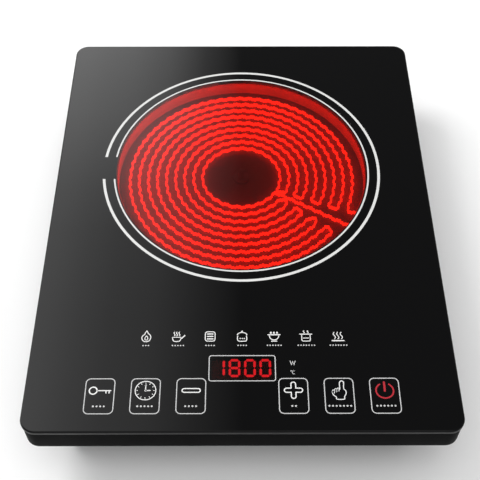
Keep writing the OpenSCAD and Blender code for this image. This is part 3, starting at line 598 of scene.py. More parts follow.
black_glass = polished("black_glass", (0.0022, 0.0022, 0.0024))
window_glass = polished("window_glass", (0.30, 0.05, 0.04), 0.0, 0.02, clear=True)
ground_edge = grained("ground_edge", (0.009, 0.009, 0.0095), 0.5, grain=2500, spread=0.1, bump=0.1)
inked_edge = polished("inked_edge", (0.0022, 0.0022, 0.0024), 0.1, 0.2)
for edge_finish, shine in ((ground_edge, 0.32), (inked_edge, 0.1)):
    set_values(edge_finish.node_tree.nodes["Principled BSDF"], Specular_IOR_Level=shine)

# %% Shape of the glass
PRINT_T = 0.04 * MM
GLASS_CORNER = 10 * MM
EDGE_ROUND = 0.9 * MM
GROUND_TALL = 2.4 * MM
WINDOW_R = 95.4 * MM
DISPLAY_WINDOW = (40 * MM, 16.6 * MM)
TOP = GLASS_TOP - PRINT_T


def glass_sheet():
    bm = bmesh.new()
    edge = EDGE_ROUND
    profile = (arc(edge, GLASS_UNDER + edge, -edge, edge, -90, 0, 4)
               + [(0, GLASS_UNDER + GROUND_TALL)]
               + arc(edge, TOP - edge, -edge, edge, 0, 90, 4))
    loops = [[bm.verts.new((x, y, z)) for x, y in
              rounded_loop(GLASS_WIDE - 2 * inset, GLASS_DEEP - 2 * inset, GLASS_CORNER - inset,
                           12)]
             for inset, z in profile]
    bridge(bm, loops, False)
    for face in bm.faces:
        face.material_index = 2 if face.calc_center_median().z < GLASS_UNDER + GROUND_TALL else 3
    rim_faces = set(bm.faces)
    for z, rim in ((GLASS_UNDER, loops[0]), (TOP, loops[-1])):
        window = [bm.verts.new((x, y, z))
                  for x, y in arc(ZONE.x, ZONE.y, WINDOW_R, WINDOW_R, 0, 360, 160)[:-1]]
        opening = [bm.verts.new((DISPLAY.x + x, DISPLAY.y + y, z))
                   for x, y in rounded_loop(*DISPLAY_WINDOW, 1.2 * MM, 4)]
        corners = rim + window + opening
        flat = [[v.co for v in loop] for loop in (rim, window, opening)]
        for triangle in tessellate_polygon(flat):
            bm.faces.new([corners[i] for i in triangle]).material_index = 0
        for loop in (window, opening):
            bm.faces.new(loop).material_index = 1
    rim_order = [face in rim_faces for face in bm.faces]
    mesh = to_mesh(bm, "glass_sheet")
    for face, on_rim in zip(mesh.polygons, rim_order):
        face.use_smooth = on_rim
    return mesh


sheet = glass_sheet()
for finish in (black_glass, window_glass, ground_edge, inked_edge):
    sheet.materials.append(finish)
piece("glass_sheet", sheet, "casing", "black_glass", replaces=("glass_plate",))
print("glass sheet:", len(sheet.polygons), "faces")

# %% [markdown]
# ## Printing on the glass
#
# The print is ceramic ink, a few hundredths of a millimetre thick, fired onto the top. It could
# be a texture, but a thin raised mesh keeps its edges sharp at any distance and is part of the
# shape itself. `stroke` turns a line of points into a flat band with round ends, and `patch`
# fills an outline.

# %% Inks, strokes and patches
white_ink = grained("white_ink", (0.76, 0.76, 0.75), 0.42, grain=4000, spread=0.05, bump=0.05)
grey_ink = grained("grey_ink", (0.55, 0.55, 0.55), 0.42, grain=4000, spread=0.06, bump=0.05)
red_ink = grained("red_ink", (0.42, 0.006, 0.018), 0.4, grain=4000, spread=0.06, bump=0.05)


def smooth_path(points, closed=False, steps=5):
    """A Catmull-Rom curve through the points."""
    count = len(points)
    last = count if closed else count - 1

    def at(i):
        return Vector(points[i % count] if closed else points[max(0, min(i, count - 1))])

    path = []
    for i in range(last):
        a, b, c, d = at(i - 1), at(i), at(i + 1), at(i + 2)
        for step in range(steps):
            t = step / steps
            path.append(0.5 * (2 * b + (c - a) * t + (2 * a - 5 * b + 4 * c - d) * t * t
                               + (3 * b - a - 3 * c + d) * t ** 3))
    if not closed:
        path.append(at(count - 1))
    return [(p.x, p.y) for p in path]


def sideways(points, closed):
    """The mitred sideways direction at each point of a line."""
    flat = [Vector(p) for p in points]
    count = len(flat)
    across = []
    for i in range(count):
        before = flat[i] - flat[i - 1] if closed or i else flat[1] - flat[0]
        after = flat[(i + 1) % count] - flat[i] if closed or i < count - 1 else flat[-1] - flat[-2]
        a, b = before.normalized(), after.normalized()
        n = Vector((-(a.y + b.y), a.x + b.x))
        n = n.normalized() if n.length > 1e-6 else Vector((-a.y, a.x))
        across.append(n / max(0.5, n.dot(Vector((-a.y, a.x)))))
    return flat, across


def block(bm, outline, centre, low, high):
    """A closed block between two heights. Its outline is in millimetres round a centre."""
    rings = [[bm.verts.new((centre[0] + x * MM, centre[1] + y * MM, z)) for x, y in outline]
             for z in (low, high)]
    bridge(bm, rings, False)
    bm.faces.new(rings[0][::-1])
    bm.faces.new(rings[1])


def patch(bm, outline, centre=(0, 0)):
    """A filled flat shape as thick as the print."""
    block(bm, outline, centre, TOP, GLASS_TOP)


def stroke(bm, points, line, centre=(0, 0), closed=False, round_ends=True):
    """A flat band along a line of points, given in millimetres round a centre."""
    flat, across = sideways(points, closed)
    left = [p + n * line / 2 for p, n in zip(flat, across)]
    right = [p - n * line / 2 for p, n in zip(flat, across)]
    if not closed:
        caps = [[], []]
        for end, (tip, n) in enumerate(((flat[-1], across[-1]), (flat[0], across[0]))):
            turn = math.atan2(n.y, n.x) + math.pi * end
            angles = [turn - math.pi * k / 6 for k in range(1, 6)] if round_ends else []
            caps[end] = [tip + Vector((math.cos(a), math.sin(a))) * line / 2 for a in angles]
        patch(bm, [tuple(p) for p in left + caps[0] + right[::-1] + caps[1]], centre)
        return
    rails = [[bm.verts.new((centre[0] + p.x * MM, centre[1] + p.y * MM, z)) for p in side]
             for side, z in ((left, TOP), (left, GLASS_TOP), (right, GLASS_TOP), (right, TOP))]
    bridge(bm, rails, True)


def printed(name, bm, ink, slot):
    """Makes a print a piece that lies on the glass."""
    mesh = to_mesh(bm, name)
    for face in mesh.polygons:
        face.use_smooth = False
    return piece(name, mesh, "casing", slot, ink)


# %% [markdown]
# ### Rings round the cooking zone
#
# Two rings mark the zone, a thin one at the window's edge and a wide one outside it. Both are
# broken at nine o'clock, and the cut is straight across, so the ends of each band have to stop
# at the same height rather than at the same angle.

# %% Zone rings
RINGS = ((96.3, 97.5), (103.8, 105.8))
RING_CUT = 11.2


def zone_rings():
    bm = bmesh.new()
    for inner, outer in RINGS:
        rails = []
        for radius in (outer, inner):
            stop = math.degrees(math.asin(RING_CUT / radius))
            rails.append(arc(0, 0, radius, radius, 180 + stop, 540 - stop, 200))
        patch_ring = rails[0] + rails[1][::-1]
        rings = [[bm.verts.new((ZONE.x + x * MM, ZONE.y + y * MM, z)) for x, y in patch_ring]
                 for z in (TOP, GLASS_TOP)]
        bridge(bm, rings, False)
        count = len(rails[0])
        for ring in rings:
            for i in range(count - 1):
                bm.faces.new((ring[i], ring[i + 1], ring[-2 - i], ring[-1 - i]))
    return bm


ring_ink = grained("ring_ink", (0.64, 0.64, 0.63), 0.42, grain=4000, spread=0.05, bump=0.05)
printed("zone_rings", zone_rings(), ring_ink, "white_print")

# %% [markdown]
# ### Key outlines
#
# Six round-cornered outlines mark the touch keys and a wider one frames the display. All of
# them are one rule with different numbers, so a tree draws a rounded rectangle, sweeps a flat
# band along it and copies it to the key centres.

# %% Key and display outlines
def outline_on_points():
    tree, given, finish_with = start_tree(
        "outline_on_points", Wide=0.02, Deep=0.02, Corner=0.003, Line=0.0008, Thick=0.00004)
    frame_line = node(tree, "GeometryNodeCurvePrimitiveQuadrilateral")
    corners = node(tree, "GeometryNodeFilletCurve", mode="POLY", Count=6)
    upright = node(tree, "GeometryNodeSetCurveNormal", mode="Z_UP")
    band = node(tree, "GeometryNodeCurvePrimitiveQuadrilateral")
    sweep = node(tree, "GeometryNodeCurveToMesh")
    copies = node(tree, "GeometryNodeInstanceOnPoints")
    join(tree, (given, "Wide", frame_line, "Width"), (given, "Deep", frame_line, "Height"),
         (frame_line, "Curve", corners, "Curve"), (given, "Corner", corners, "Radius"),
         (corners, "Curve", upright, "Curve"), (given, "Line", band, "Width"),
         (given, "Thick", band, "Height"), (upright, "Curve", sweep, "Curve"),
         (band, "Curve", sweep, "Profile Curve"), (given, "Geometry", copies, "Points"),
         (sweep, "Mesh", copies, "Instance"))
    finish_with(copies.outputs["Instances"])
    return tree


OUTLINE = outline_on_points()
PRINT_MIDDLE = (TOP + GLASS_TOP) / 2
KEY_WIDE, KEY_DEEP, KEY_CORNER = 18.6 * MM, 24.8 * MM, 3 * MM
FRAMED_WIDE, FRAMED_DEEP, FRAMED_CORNER = 43.2 * MM, 18.6 * MM, 1.6 * MM
KEY_LINE = 0.62 * MM
KEYS = [middle(box).x for box in solids("touch_springs")]
outlines = grow("key_outlines", OUTLINE, points_mesh([(x, KEY_ROW, PRINT_MIDDLE) for x in KEYS]),
                wide=KEY_WIDE, deep=KEY_DEEP, corner=KEY_CORNER, line=KEY_LINE, thick=PRINT_T,
                finish=grey_ink)
piece("key_outlines", outlines, "casing", "white_print", grey_ink)
display_line = grow("display_outline", OUTLINE, points_mesh([(DISPLAY.x, DISPLAY.y, PRINT_MIDDLE)]),
                    wide=FRAMED_WIDE, deep=FRAMED_DEEP, corner=FRAMED_CORNER, line=KEY_LINE,
                    thick=PRINT_T, finish=grey_ink)
piece("display_outline", display_line, "casing", "white_print", grey_ink)
print("keys at", [round(x, 4) for x in KEYS])

# %% [markdown]
# ### Symbols in the keys
#
# From left to right the keys are lock, timer, less, more, choose and power. Each symbol is drawn
# with a few strokes, in millimetres round its key's centre. The clock's twelve ticks are copies
# round an axis.

# %% Key symbols
SYMBOL_UP = 3.9 * MM


def key_centre(index):
    return KEYS[index], KEY_ROW + SYMBOL_UP


def lock_symbol(bm):
    at = key_centre(0)
    stroke(bm, arc(-4.3, 0, 2.5, 2.5, 0, 360, 32)[:-1], 0.8, at, closed=True)
    stroke(bm, [(-1.6, 0), (7.0, 0)], 0.7, at)
    for x in (4.0, 6.0):
        stroke(bm, [(x, -0.3), (x, -1.95)], 0.75, at, round_ends=False)


def timer_symbol(bm):
    at = key_centre(1)
    stroke(bm, arc(0, 0, 6.6, 6.6, 0, 360, 48)[:-1], 0.6, at, closed=True)
    stroke(bm, [(0, 3.9), (0, 0), (3.0, 0)], 0.62, at)
    patch(bm, arc(0, 0, 0.7, 0.7, 0, 360, 12)[:-1], at)
    patch(bm, [(-0.7, 3.4), (0.7, 3.4), (0, 4.9)], at)


def less_symbol(bm):
    at = key_centre(2)
    outline = arc(4.5, 0, 1.35, 1.35, -90, 90, 10) + arc(-4.5, 0, 1.35, 1.35, 90, 270, 10)
    stroke(bm, outline, 0.72, at, closed=True)


def more_symbol(bm):
    at = key_centre(3)
    arm = []
    for quarter in range(4):
        turn = math.radians(90 * quarter)
        for x, y in [(1.5, -1.5)] + arc(4.35, 0, 1.5, 1.5, -90, 90, 8):
            arm.append((x * math.cos(turn) - y * math.sin(turn),
                        x * math.sin(turn) + y * math.cos(turn)))
    stroke(bm, arm, 0.72, at, closed=True)


def choose_symbol(bm):
    at = key_centre(4)
    hand = [(0.5, 0.6), (0.5, 4.9), (1.0, 6.2), (2.0, 6.6), (2.9, 6.1), (3.2, 4.9), (3.0, 1.1),
            (4.2, -0.4),
            (4.3, -2.6), (3.2, -4.6), (2.9, -6.4), (-1.7, -6.4), (-2.1, -5.0), (-3.9, -3.2),
            (-4.5, -1.0)]
    stroke(bm, smooth_path(hand), 0.6, at)
    for x, y in ((-3.6, -0.2), (-2.1, 0.7), (-0.6, 1.2)):
        knuckle = [(x - 0.75, y - 1.6), (x - 0.75, y - 0.3), (x, y + 0.35), (x + 0.55, y - 0.2),
                   (x + 0.5, y - 1.9)]
        stroke(bm, smooth_path(knuckle), 0.45, at)


def power_symbol():
    bm = bmesh.new()
    at = key_centre(5)
    stroke(bm, arc(0, -0.4, 5.6, 5.3, 122, 418, 48), 1.0, at)
    stroke(bm, [(0, -0.6), (0, 5.6)], 1.35, at)
    return bm


symbols = bmesh.new()
for draw in (lock_symbol, timer_symbol, less_symbol, more_symbol, choose_symbol):
    draw(symbols)
printed("key_symbols", symbols, white_ink, "white_print")
printed("power_symbol", power_symbol(), red_ink, "red_print")

tick = bmesh.new()
patch(tick, [(-0.5, -0.2), (0.5, -0.2), (0.5, 0.2), (-0.5, 0.2)])
clock_ticks = repeat("clock_ticks", to_mesh(tick, "tick"), [(*key_centre(1), 0)], white_ink, ROUND,
                     count=12, radius=5.35 * MM)
piece("clock_ticks", clock_ticks, "casing", "white_print", white_ink)

# %% [markdown]
# ### Cooking programmes
#
# Seven small pictures stand above the display: flame, frying pan, grill, soup pot, hot pot, deep
# pot and plain heat. They are simple drawings of those things, drawn about 9 mm wide and then
# scaled down together to the size of the print. Words are left off the hob: where a caption would
# stand, there is a short row of dashes.

# %% Programme pictures
LAMPS = [middle(box).x for box in solids("function_lights")]
PICTURE_LINE, PICTURE_SCALE = 0.7, 0.86


def steam(bm, at, x, y, tall=3.4, swing=0.45):
    stroke(bm, [(x + swing * math.sin(2 * math.pi * k / 12), y + tall * k / 12) for k in range(13)],
           0.65, at)


def flame_picture(bm, at):
    outer = [(0.2, 5.0), (1.4, 2.9), (3.1, 0.9), (3.4, -1.6), (2.2, -3.9), (0, -4.6), (-2.2, -3.9),
             (-3.4, -1.7),
             (-2.9, 0.6), (-1.7, 1.6), (-0.9, 3.2)]
    stroke(bm, smooth_path(outer, True), PICTURE_LINE, at, closed=True)
    stroke(bm, smooth_path([(0.1, 0.6), (1.2, -1.2), (0.8, -2.9), (-0.6, -3.0), (-1.1, -1.6)],
                           True), 0.6, at,
           closed=True)


def pan_picture(bm, at):
    bowl = [(-4.4, -1.4), (-3.9, -3.4), (-2.6, -4.4), (0.3, -4.4), (1.7, -3.3), (2.2, -1.4)]
    stroke(bm, smooth_path(bowl, False, 3), PICTURE_LINE, at)
    stroke(bm, [(-4.4, -0.7), (2.2, -0.7)], 0.6, at)
    stroke(bm, [(2.8, -1.6), (5.0, 0.9)], 0.95, at)
    for x in (-3.0, -1.1, 0.8):
        steam(bm, at, x, 0.6)


def grill_picture(bm, at):
    rim = [(x * 1000, y * 1000) for x, y in rounded_loop(7.6 * MM, 8.4 * MM, 1.8 * MM, 4)]
    stroke(bm, rim, PICTURE_LINE, at, closed=True)
    for y in (-2.2, 0, 2.2):
        stroke(bm, [(-2.1, y), (2.1, y)], 0.95, at)


def soup_picture(bm, at):
    pot = [(-3.4, 0.4), (-3.6, -2.2), (-2.6, -4.2), (2.6, -4.2), (3.6, -2.2), (3.4, 0.4)]
    stroke(bm, smooth_path(pot, False, 4), PICTURE_LINE, at)
    stroke(bm, arc(0, 1.3, 3.7, 2.2, 0, 180, 14), PICTURE_LINE, at)
    patch(bm, arc(0, 4.6, 0.75, 0.55, 0, 360, 10)[:-1], at)
    for x in (-1.5, 0.1, 1.7):
        patch(bm, arc(x, -1.9, 0.55, 0.55, 0, 360, 8)[:-1], at)


def hot_pot_picture(bm, at):
    bowl = arc(0, 0.4, 3.6, 3.6, 180, 360, 14)
    stroke(bm, bowl, PICTURE_LINE, at)
    stroke(bm, [(-4.6, 1.4), (4.6, 1.4)], 0.9, at)
    stroke(bm, [(-2.0, -4.3), (2.0, -4.3)], 0.8, at)
    for x in (-2.4, 0, 2.4):
        patch(bm, arc(x, 3.2, 0.75, 0.95, 0, 360, 10)[:-1], at)


def deep_pot_picture(bm, at):
    stroke(bm, [(-3.3, 0.9), (-3.3, -3.4), (-2.6, -4.3), (2.6, -4.3), (3.3, -3.4), (3.3, 0.9)],
           PICTURE_LINE, at)
    stroke(bm, [(-4.6, 1.9), (4.6, 1.9)], 0.8, at)
    stroke(bm, [(-1.9, -1.6), (1.9, -1.6)], 0.7, at)
    for x in (-1.5, 1.5):
        steam(bm, at, x, 2.8, 2.2, 0.4)


def heat_picture(bm, at):
    stroke(bm, [(-4.5, -4.0), (4.5, -4.0)], 1.0, at)
    for x in (-2.7, 0, 2.7):
        steam(bm, at, x, -2.4, 6.0, 0.8)


pictures = bmesh.new()
for x, draw in zip(LAMPS, (flame_picture, pan_picture, grill_picture, soup_picture, hot_pot_picture,
                           deep_pot_picture, heat_picture)):
    before = set(pictures.verts)
    draw(pictures, (x, LAMP_ROW))
    bmesh.ops.scale(pictures, vec=(PICTURE_SCALE, PICTURE_SCALE, 1),
                    space=Matrix.Translation((-x, -LAMP_ROW, 0)),
                    verts=[vert for vert in pictures.verts if vert not in before])
printed("programme_pictures", pictures, white_ink, "white_print")

# %% Caption dashes and unit marks
DASH_WIDE, DASH_DEEP = 1.35, 1.25
KEY_CAPTIONS, KEY_STEP = (4, 5, 4, 2, 7, 6), 2.3
LAMP_CAPTIONS, LAMP_STEP = (3, 5, 4, 4, 6, 7, 7), 1.8


def caption_points(counts, places, y, step):
    return [(x + (i - (count - 1) / 2) * step * MM, y, 0)
            for x, count in zip(places, counts) for i in range(count)]


def caption_dashes(name, places, scale):
    dash = bmesh.new()
    wide, end = (DASH_WIDE - DASH_DEEP) / 2 * scale, DASH_DEEP / 2 * scale
    patch(dash, arc(wide, 0, end, end, -90, 90, 4) + arc(-wide, 0, end, end, 90, 270, 4))
    piece(name, repeat(name, to_mesh(dash, "dash"), places, grey_ink), "casing", "white_print",
          grey_ink)


caption_dashes("key_caption_dashes",
               caption_points(KEY_CAPTIONS, KEYS, KEY_ROW - 7.2 * MM, KEY_STEP), 1.0)
caption_dashes("programme_caption_dashes",
               caption_points(LAMP_CAPTIONS, LAMPS, LAMP_ROW - 6.9 * MM, LAMP_STEP), 0.8)

units = bmesh.new()
watt_at = (DISPLAY.x + 33 * MM, DISPLAY.y + 3.9 * MM)
stroke(units, [(-1.7, 1.4), (-0.85, -1.4), (0, 1.0), (0.85, -1.4), (1.7, 1.4)], 0.55, watt_at,
       round_ends=False)
degree_at = (DISPLAY.x + 33 * MM, DISPLAY.y - 3.2 * MM)
stroke(units, arc(-1.2, 1.1, 0.35, 0.35, 0, 360, 12)[:-1], 0.25, degree_at, closed=True)
stroke(units, arc(0.4, 0, 0.9, 1.15, 50, 310, 12), 0.35, degree_at, round_ends=False)
printed("unit_marks", units, grey_ink, "white_print")

# %% [markdown]
# ## The display
#
# Four seven-segment digits stand on the display module under the glass, and shine through the
# small window. They show the full power of the hob in watts. The light comes from the segments
# themselves, so each is a slim six-cornered block with a glowing finish. The tinted glass above
# takes away most of the light, so the glow is stronger than the colour that is seen.

# %% Digits
SEGMENTS = {"1": "bc", "8": "abcdefg", "0": "abcdef"}
DIGITS = "1800"
DIGIT_WIDE, DIGIT_TALL, BAR = 6.1, 11.6, 1.6
DIGIT_PITCH = 10.1
DIGIT_T, DIGIT_SUNK = 0.3 * MM, 0.05 * MM
DIGITS_BACK = 1.9 * MM


def glowing(name, colour, strength, grain=900.0, spread=0.05):
    """A hot or lit surface whose glow varies a little."""
    material, tree, shader = start_finish(name)
    effect = node(tree, "ShaderNodeGroup", node_tree=GRAIN, Color=(*colour, 1), Grain=grain,
                  Spread=spread)
    join(tree, (effect, "Color", shader, "Base Color"), (effect, "Color", shader, "Emission Color"),
         (effect, "Roughness", shader, "Roughness"))
    set_values(shader, Emission_Strength=strength)
    return material


def segment_bar(letter):
    """The two ends of one segment, in millimetres round the digit's centre."""
    w, h = DIGIT_WIDE / 2, DIGIT_TALL / 2
    return {"a": ((-w, h), (w, h)), "b": ((w, h), (w, 0)), "c": ((w, 0), (w, -h)),
            "d": ((-w, -h), (w, -h)),
            "e": ((-w, 0), (-w, -h)), "f": ((-w, h), (-w, 0)), "g": ((-w, 0), (w, 0))}[letter]


def digit_blocks():
    bm = bmesh.new()
    for place, digit in enumerate(DIGITS):
        x = DISPLAY.x + (place - 1.5) * DIGIT_PITCH * MM
        y = DISPLAY.y + DIGITS_BACK
        for letter in SEGMENTS[digit]:
            start, end = (Vector(p) for p in segment_bar(letter))
            along = (end - start).normalized()
            across = Vector((-along.y, along.x)) * BAR / 2
            a, b = start + along * 0.35, end - along * 0.35
            ring = [a, a + along * BAR / 2 + across, b - along * BAR / 2 + across, b,
                    b - along * BAR / 2 - across, a + along * BAR / 2 - across]
            block(bm, [tuple(p) for p in ring], (x, y), display_high.z - DIGIT_SUNK,
                  display_high.z + DIGIT_T)
    return to_mesh(bm, "display_digits")


digit_glow = glowing("digit_glow", (1.0, 0.09, 0.17), 2.2)
piece("display_digits", digit_blocks(), "casing", "black_parts", digit_glow)
print("digits:", DIGITS)

# %% [markdown]
# The module under the digits is a small moulded box. Its top edges are rounded, because a sharp
# edge would show through the window as a hard bright line.

# %% Display body
MODULE_EDGE, MODULE_CORNER, LEAST_CORNER = 0.6 * MM, 1.2 * MM, 0.3 * MM
module_size = display_high - display_low
module_levels = [(0, display_low.z)] + arc(MODULE_EDGE, display_high.z - MODULE_EDGE,
                                           -MODULE_EDGE, MODULE_EDGE, 0, 90, 4)
body = loft([(module_size.x - 2 * i, module_size.y - 2 * i, max(MODULE_CORNER - i, LEAST_CORNER), z)
             for i, z in module_levels], centre=(DISPLAY.x, DISPLAY.y), steps=4)
display_face = grained("display_face", (0.006, 0.005, 0.005), 0.6, grain=1200, bump=0.1)
piece("display_body", to_mesh(body, "display_body"), "casing", "black_parts", display_face,
      replaces=("display_module",))

# %% [markdown]
# ## The glowing ribbon
#
# The heat comes from one long strip of resistance foil that stands on edge in the insulation. It
# runs round the zone nine times, turns back at a gap on the right, and comes home along that
# gap. The strip is folded into fine waves so that it can grow as it heats, and it wanders a little
# between its anchors. The route is drawn as points, and a tree does the rest: it spaces the points
# evenly, sways them from side to side, and sweeps an upright band along them.

# %% Route of the ribbon
STRAND_R, STRAND_PITCH, STRANDS = 86.0, 7.0, 9
LEAD_ANGLE, GAP_HALF, FIRST_ANGLE = -31.0, 9.0, -23.0
WALL_R = 94.5


def polar(radius, angle):
    return Vector((radius * math.cos(math.radians(angle)), radius * math.sin(math.radians(angle))))


def soft_corner(a, corner, b, steps=6):
    return [a * (1 - t) ** 2 + corner * 2 * t * (1 - t) + b * t * t
            for t in (k / steps for k in range(steps + 1))]


def ribbon_route():
    near, far = LEAD_ANGLE + GAP_HALF, LEAD_ANGLE - GAP_HALF + 360
    home = LEAD_ANGLE + 360
    inner = STRAND_R - (STRANDS - 1) * STRAND_PITCH
    route = [polar(WALL_R, FIRST_ANGLE)]
    route += soft_corner(polar(STRAND_R + 3, FIRST_ANGLE), polar(STRAND_R, FIRST_ANGLE),
                         polar(STRAND_R, FIRST_ANGLE + 2))
    for i in range(STRANDS):
        radius = STRAND_R - i * STRAND_PITCH
        start, end = (near, far) if i % 2 == 0 else (far, near)
        if i == 0:
            start = FIRST_ANGLE + 2.5
        if i == STRANDS - 1:
            end = home - 6
        route += [polar(radius, start + (end - start) * k / 90) for k in range(91)]
        if i < STRANDS - 1:
            side = 1 if i % 2 == 0 else -1
            out = polar(1, end)
            along = Vector((-out.y, out.x)) * side
            middle_r = radius - STRAND_PITCH / 2
            route += [out * (middle_r + STRAND_PITCH / 2 * math.cos(math.pi * k / 10))
                      + along * STRAND_PITCH / 2 * math.sin(math.pi * k / 10) for k in range(1, 10)]
    route += soft_corner(polar(inner, home - 5), polar(inner, home), polar(inner + 3, home))
    route.append(polar(WALL_R, home))
    height = (ribbon_low.z + ribbon_high.z) / 2
    return [(ZONE.x + p.x * MM, ZONE.y + p.y * MM, height) for p in route]


route = ribbon_route()
print("ribbon length",
      round(sum((Vector(a) - Vector(b)).length for a, b in zip(route, route[1:])), 3), "m")

# %% Folding and sweeping the ribbon
def corrugated_ribbon():
    tree, given, finish_with = start_tree(
        "corrugated_ribbon", Spacing=0.001, Wave_Length=0.009, Wave_Height=0.0007,
        Fold_Length=0.002,
        Fold_Height=0.0005, Thick=0.001, Tall=0.003)
    line = node(tree, "GeometryNodeMeshToCurve")
    even = node(tree, "GeometryNodeResampleCurve", mode="LENGTH")
    upright = node(tree, "GeometryNodeSetCurveNormal", mode="Z_UP")
    place = node(tree, "GeometryNodeSplineParameter")
    tangent = node(tree, "GeometryNodeInputTangent")
    across = node(tree, "ShaderNodeVectorMath", operation="CROSS_PRODUCT")
    across.inputs[1].default_value = (0, 0, 1)
    sway = node(tree, "ShaderNodeVectorMath", operation="SCALE")
    moved = node(tree, "GeometryNodeSetPosition")
    band = node(tree, "GeometryNodeCurvePrimitiveQuadrilateral")
    sweep = node(tree, "GeometryNodeCurveToMesh", Fill_Caps=True)

    def wave(length, tall):
        turns = math_node(tree, "DIVIDE", place.outputs["Length"], given.outputs[length])
        return math_node(tree, "MULTIPLY",
                         math_node(tree, "SINE", math_node(tree, "MULTIPLY", turns, 2 * math.pi)),
                         given.outputs[tall])

    join(tree, (given, "Geometry", line, "Mesh"), (line, "Curve", even, "Curve"),
         (given, "Spacing", even, "Length"), (tangent, "Tangent", across, 0),
         (across, "Vector", sway, 0),
         (math_node(tree, "ADD", wave("Wave Length", "Wave Height"),
                    wave("Fold Length", "Fold Height")), sway, "Scale"),
         (even, "Curve", moved, "Geometry"), (sway, "Vector", moved, "Offset"),
         (moved, "Geometry", upright, "Curve"), (given, "Thick", band, "Width"),
         (given, "Tall", band, "Height"), (upright, "Curve", sweep, "Curve"),
         (band, "Curve", sweep, "Profile Curve"))
    finish_with(sweep.outputs["Mesh"])
    return tree


hot_ribbon = glowing("hot_ribbon", (1.0, 0.085, 0.035), 4.2, grain=500, spread=0.1)
ribbon = grow("heating_ribbon", corrugated_ribbon(), points_mesh(route, linked=True),
              spacing=0.35 * MM,
              wave_length=8 * MM, wave_height=0.6 * MM, fold_length=2.4 * MM, fold_height=0.45 * MM,
              thick=0.55 * MM, tall=ribbon_high.z - ribbon_low.z - 0.4 * MM, finish=hot_ribbon)
piece("heating_ribbon", ribbon, "heater", "hot_ribbon", hot_ribbon, replaces=("heating_element",))

# %% [markdown]
# ## The insulation round the ribbon
#
# The ribbon stands on a bed of pressed fibre, inside a harder ring that touches the glass. Both
# are off-white when cold and are lit red by the ribbon. The ring is turned on a lathe here, so
# that its inner edge can be rounded. The bed keeps its CAD shape. A weak painted glow of their
# own stands for the ribbon's red light on the fibre between the strands and on the ring's inner
# wall, with a little of the bed's own heat.

# %% Insulation finishes
def fibre_with_painted_glow(name, colour, inner, outer, strength):
    """Pressed fibre with a faint painted glow between two radii of the zone, in metres: painted red
    light from the ribbon, with a little of the fibre's own heat.
    """
    material, tree, shader = start_finish(name)
    effect = node(tree, "ShaderNodeGroup", node_tree=GRAIN, Color=(*colour, 1), Grain=700.0,
                  Spread=0.12, Roughness=0.95)
    place = node(tree, "ShaderNodeTexCoord")
    centred = node(tree, "ShaderNodeVectorMath", operation="SUBTRACT")
    centred.inputs[1].default_value = (ZONE.x, ZONE.y, 0)
    flat = node(tree, "ShaderNodeVectorMath", operation="MULTIPLY")
    flat.inputs[1].default_value = (1, 1, 0)
    far = node(tree, "ShaderNodeVectorMath", operation="LENGTH")
    join(tree, (place, "Object", centred, 0), (centred, "Vector", flat, 0),
         (flat, "Vector", far, 0))

    def edge(low, high):
        step = node(tree, "ShaderNodeMapRange", interpolation_type="SMOOTHSTEP", From_Min=low,
                    From_Max=high)
        tree.links.new(far.outputs["Value"], step.inputs["Value"])
        return step.outputs["Result"]

    # The glow band is painted light: red light from the ribbon, with a little of the fibre's own
    # heat.
    band = math_node(tree, "MULTIPLY", edge(inner - 6 * MM, inner + 4 * MM),
                     edge(outer + 4 * MM, outer - 6 * MM))
    painted_glow = node(tree, "ShaderNodeVectorMath", operation="SCALE")
    painted_glow.inputs[0].default_value = (1.0, 0.07, 0.05)
    join(tree, (effect, "Color", shader, "Base Color"), (effect, "Roughness", shader, "Roughness"),
         (band, painted_glow, "Scale"), (painted_glow, "Vector", shader, "Emission Color"))
    set_values(shader, Emission_Strength=strength)
    raise_surface(tree, shader, effect.outputs["Height"], 0.3)
    return material


strand_inner = (STRAND_R - (STRANDS - 1) * STRAND_PITCH) * MM
# The bed's glow is painted light from the ribbon with a little heat of its own; the ring's glow on
# its inner wall is painted light from the ribbon.
fibre_bed = fibre_with_painted_glow("fibre_bed", (0.34, 0.30, 0.26), strand_inner, STRAND_R * MM, 0.06)
fibre_ring = fibre_with_painted_glow("fibre_ring", (0.80, 0.75, 0.66), WALL_R * MM - 5 * MM,
                          WALL_R * MM + 5 * MM, 0.25)

# %% Insulation ring
def turned_ring(profile, centre, segments=160):
    """A closed profile turned round an upright axis, with no ends."""
    bm = bmesh.new()
    loops = [[bm.verts.new((centre[0] + r * math.cos(2 * math.pi * i / segments),
                            centre[1] + r * math.sin(2 * math.pi * i / segments), z))
                            for i in range(segments)]
             for r, z in profile]
    bridge(bm, loops, True)
    return bm


ring_r = (ring_high.x - ring_low.x) / 2
soft = 0.9 * MM
ring_profile = ([(ring_r, ring_low.z), (ring_r, ring_high.z - soft)]
                + arc(ring_r - soft, ring_high.z - soft, soft, soft, 0, 90, 4)[1:]
                + arc(WALL_R * MM + soft, ring_high.z - soft, soft, soft, 90, 180, 4)
                + [(WALL_R * MM, ring_low.z)])
piece("insulation_collar", to_mesh(turned_ring(ring_profile, ZONE), "insulation_collar"), "heater",
      "insulation",
      fibre_ring, replaces=("insulation_ring",))

# %% [markdown]
# ## The casing finish
#
# The skirt and the tub are moulded in black plastic with a fine spark-eroded texture, and the
# skirt is the darker and duller of the two. Light catches the texture most at rounded edges, where
# handling has also polished it a little. The finish adds that polish with an edge mask, built as a
# group, since several plastics use it.

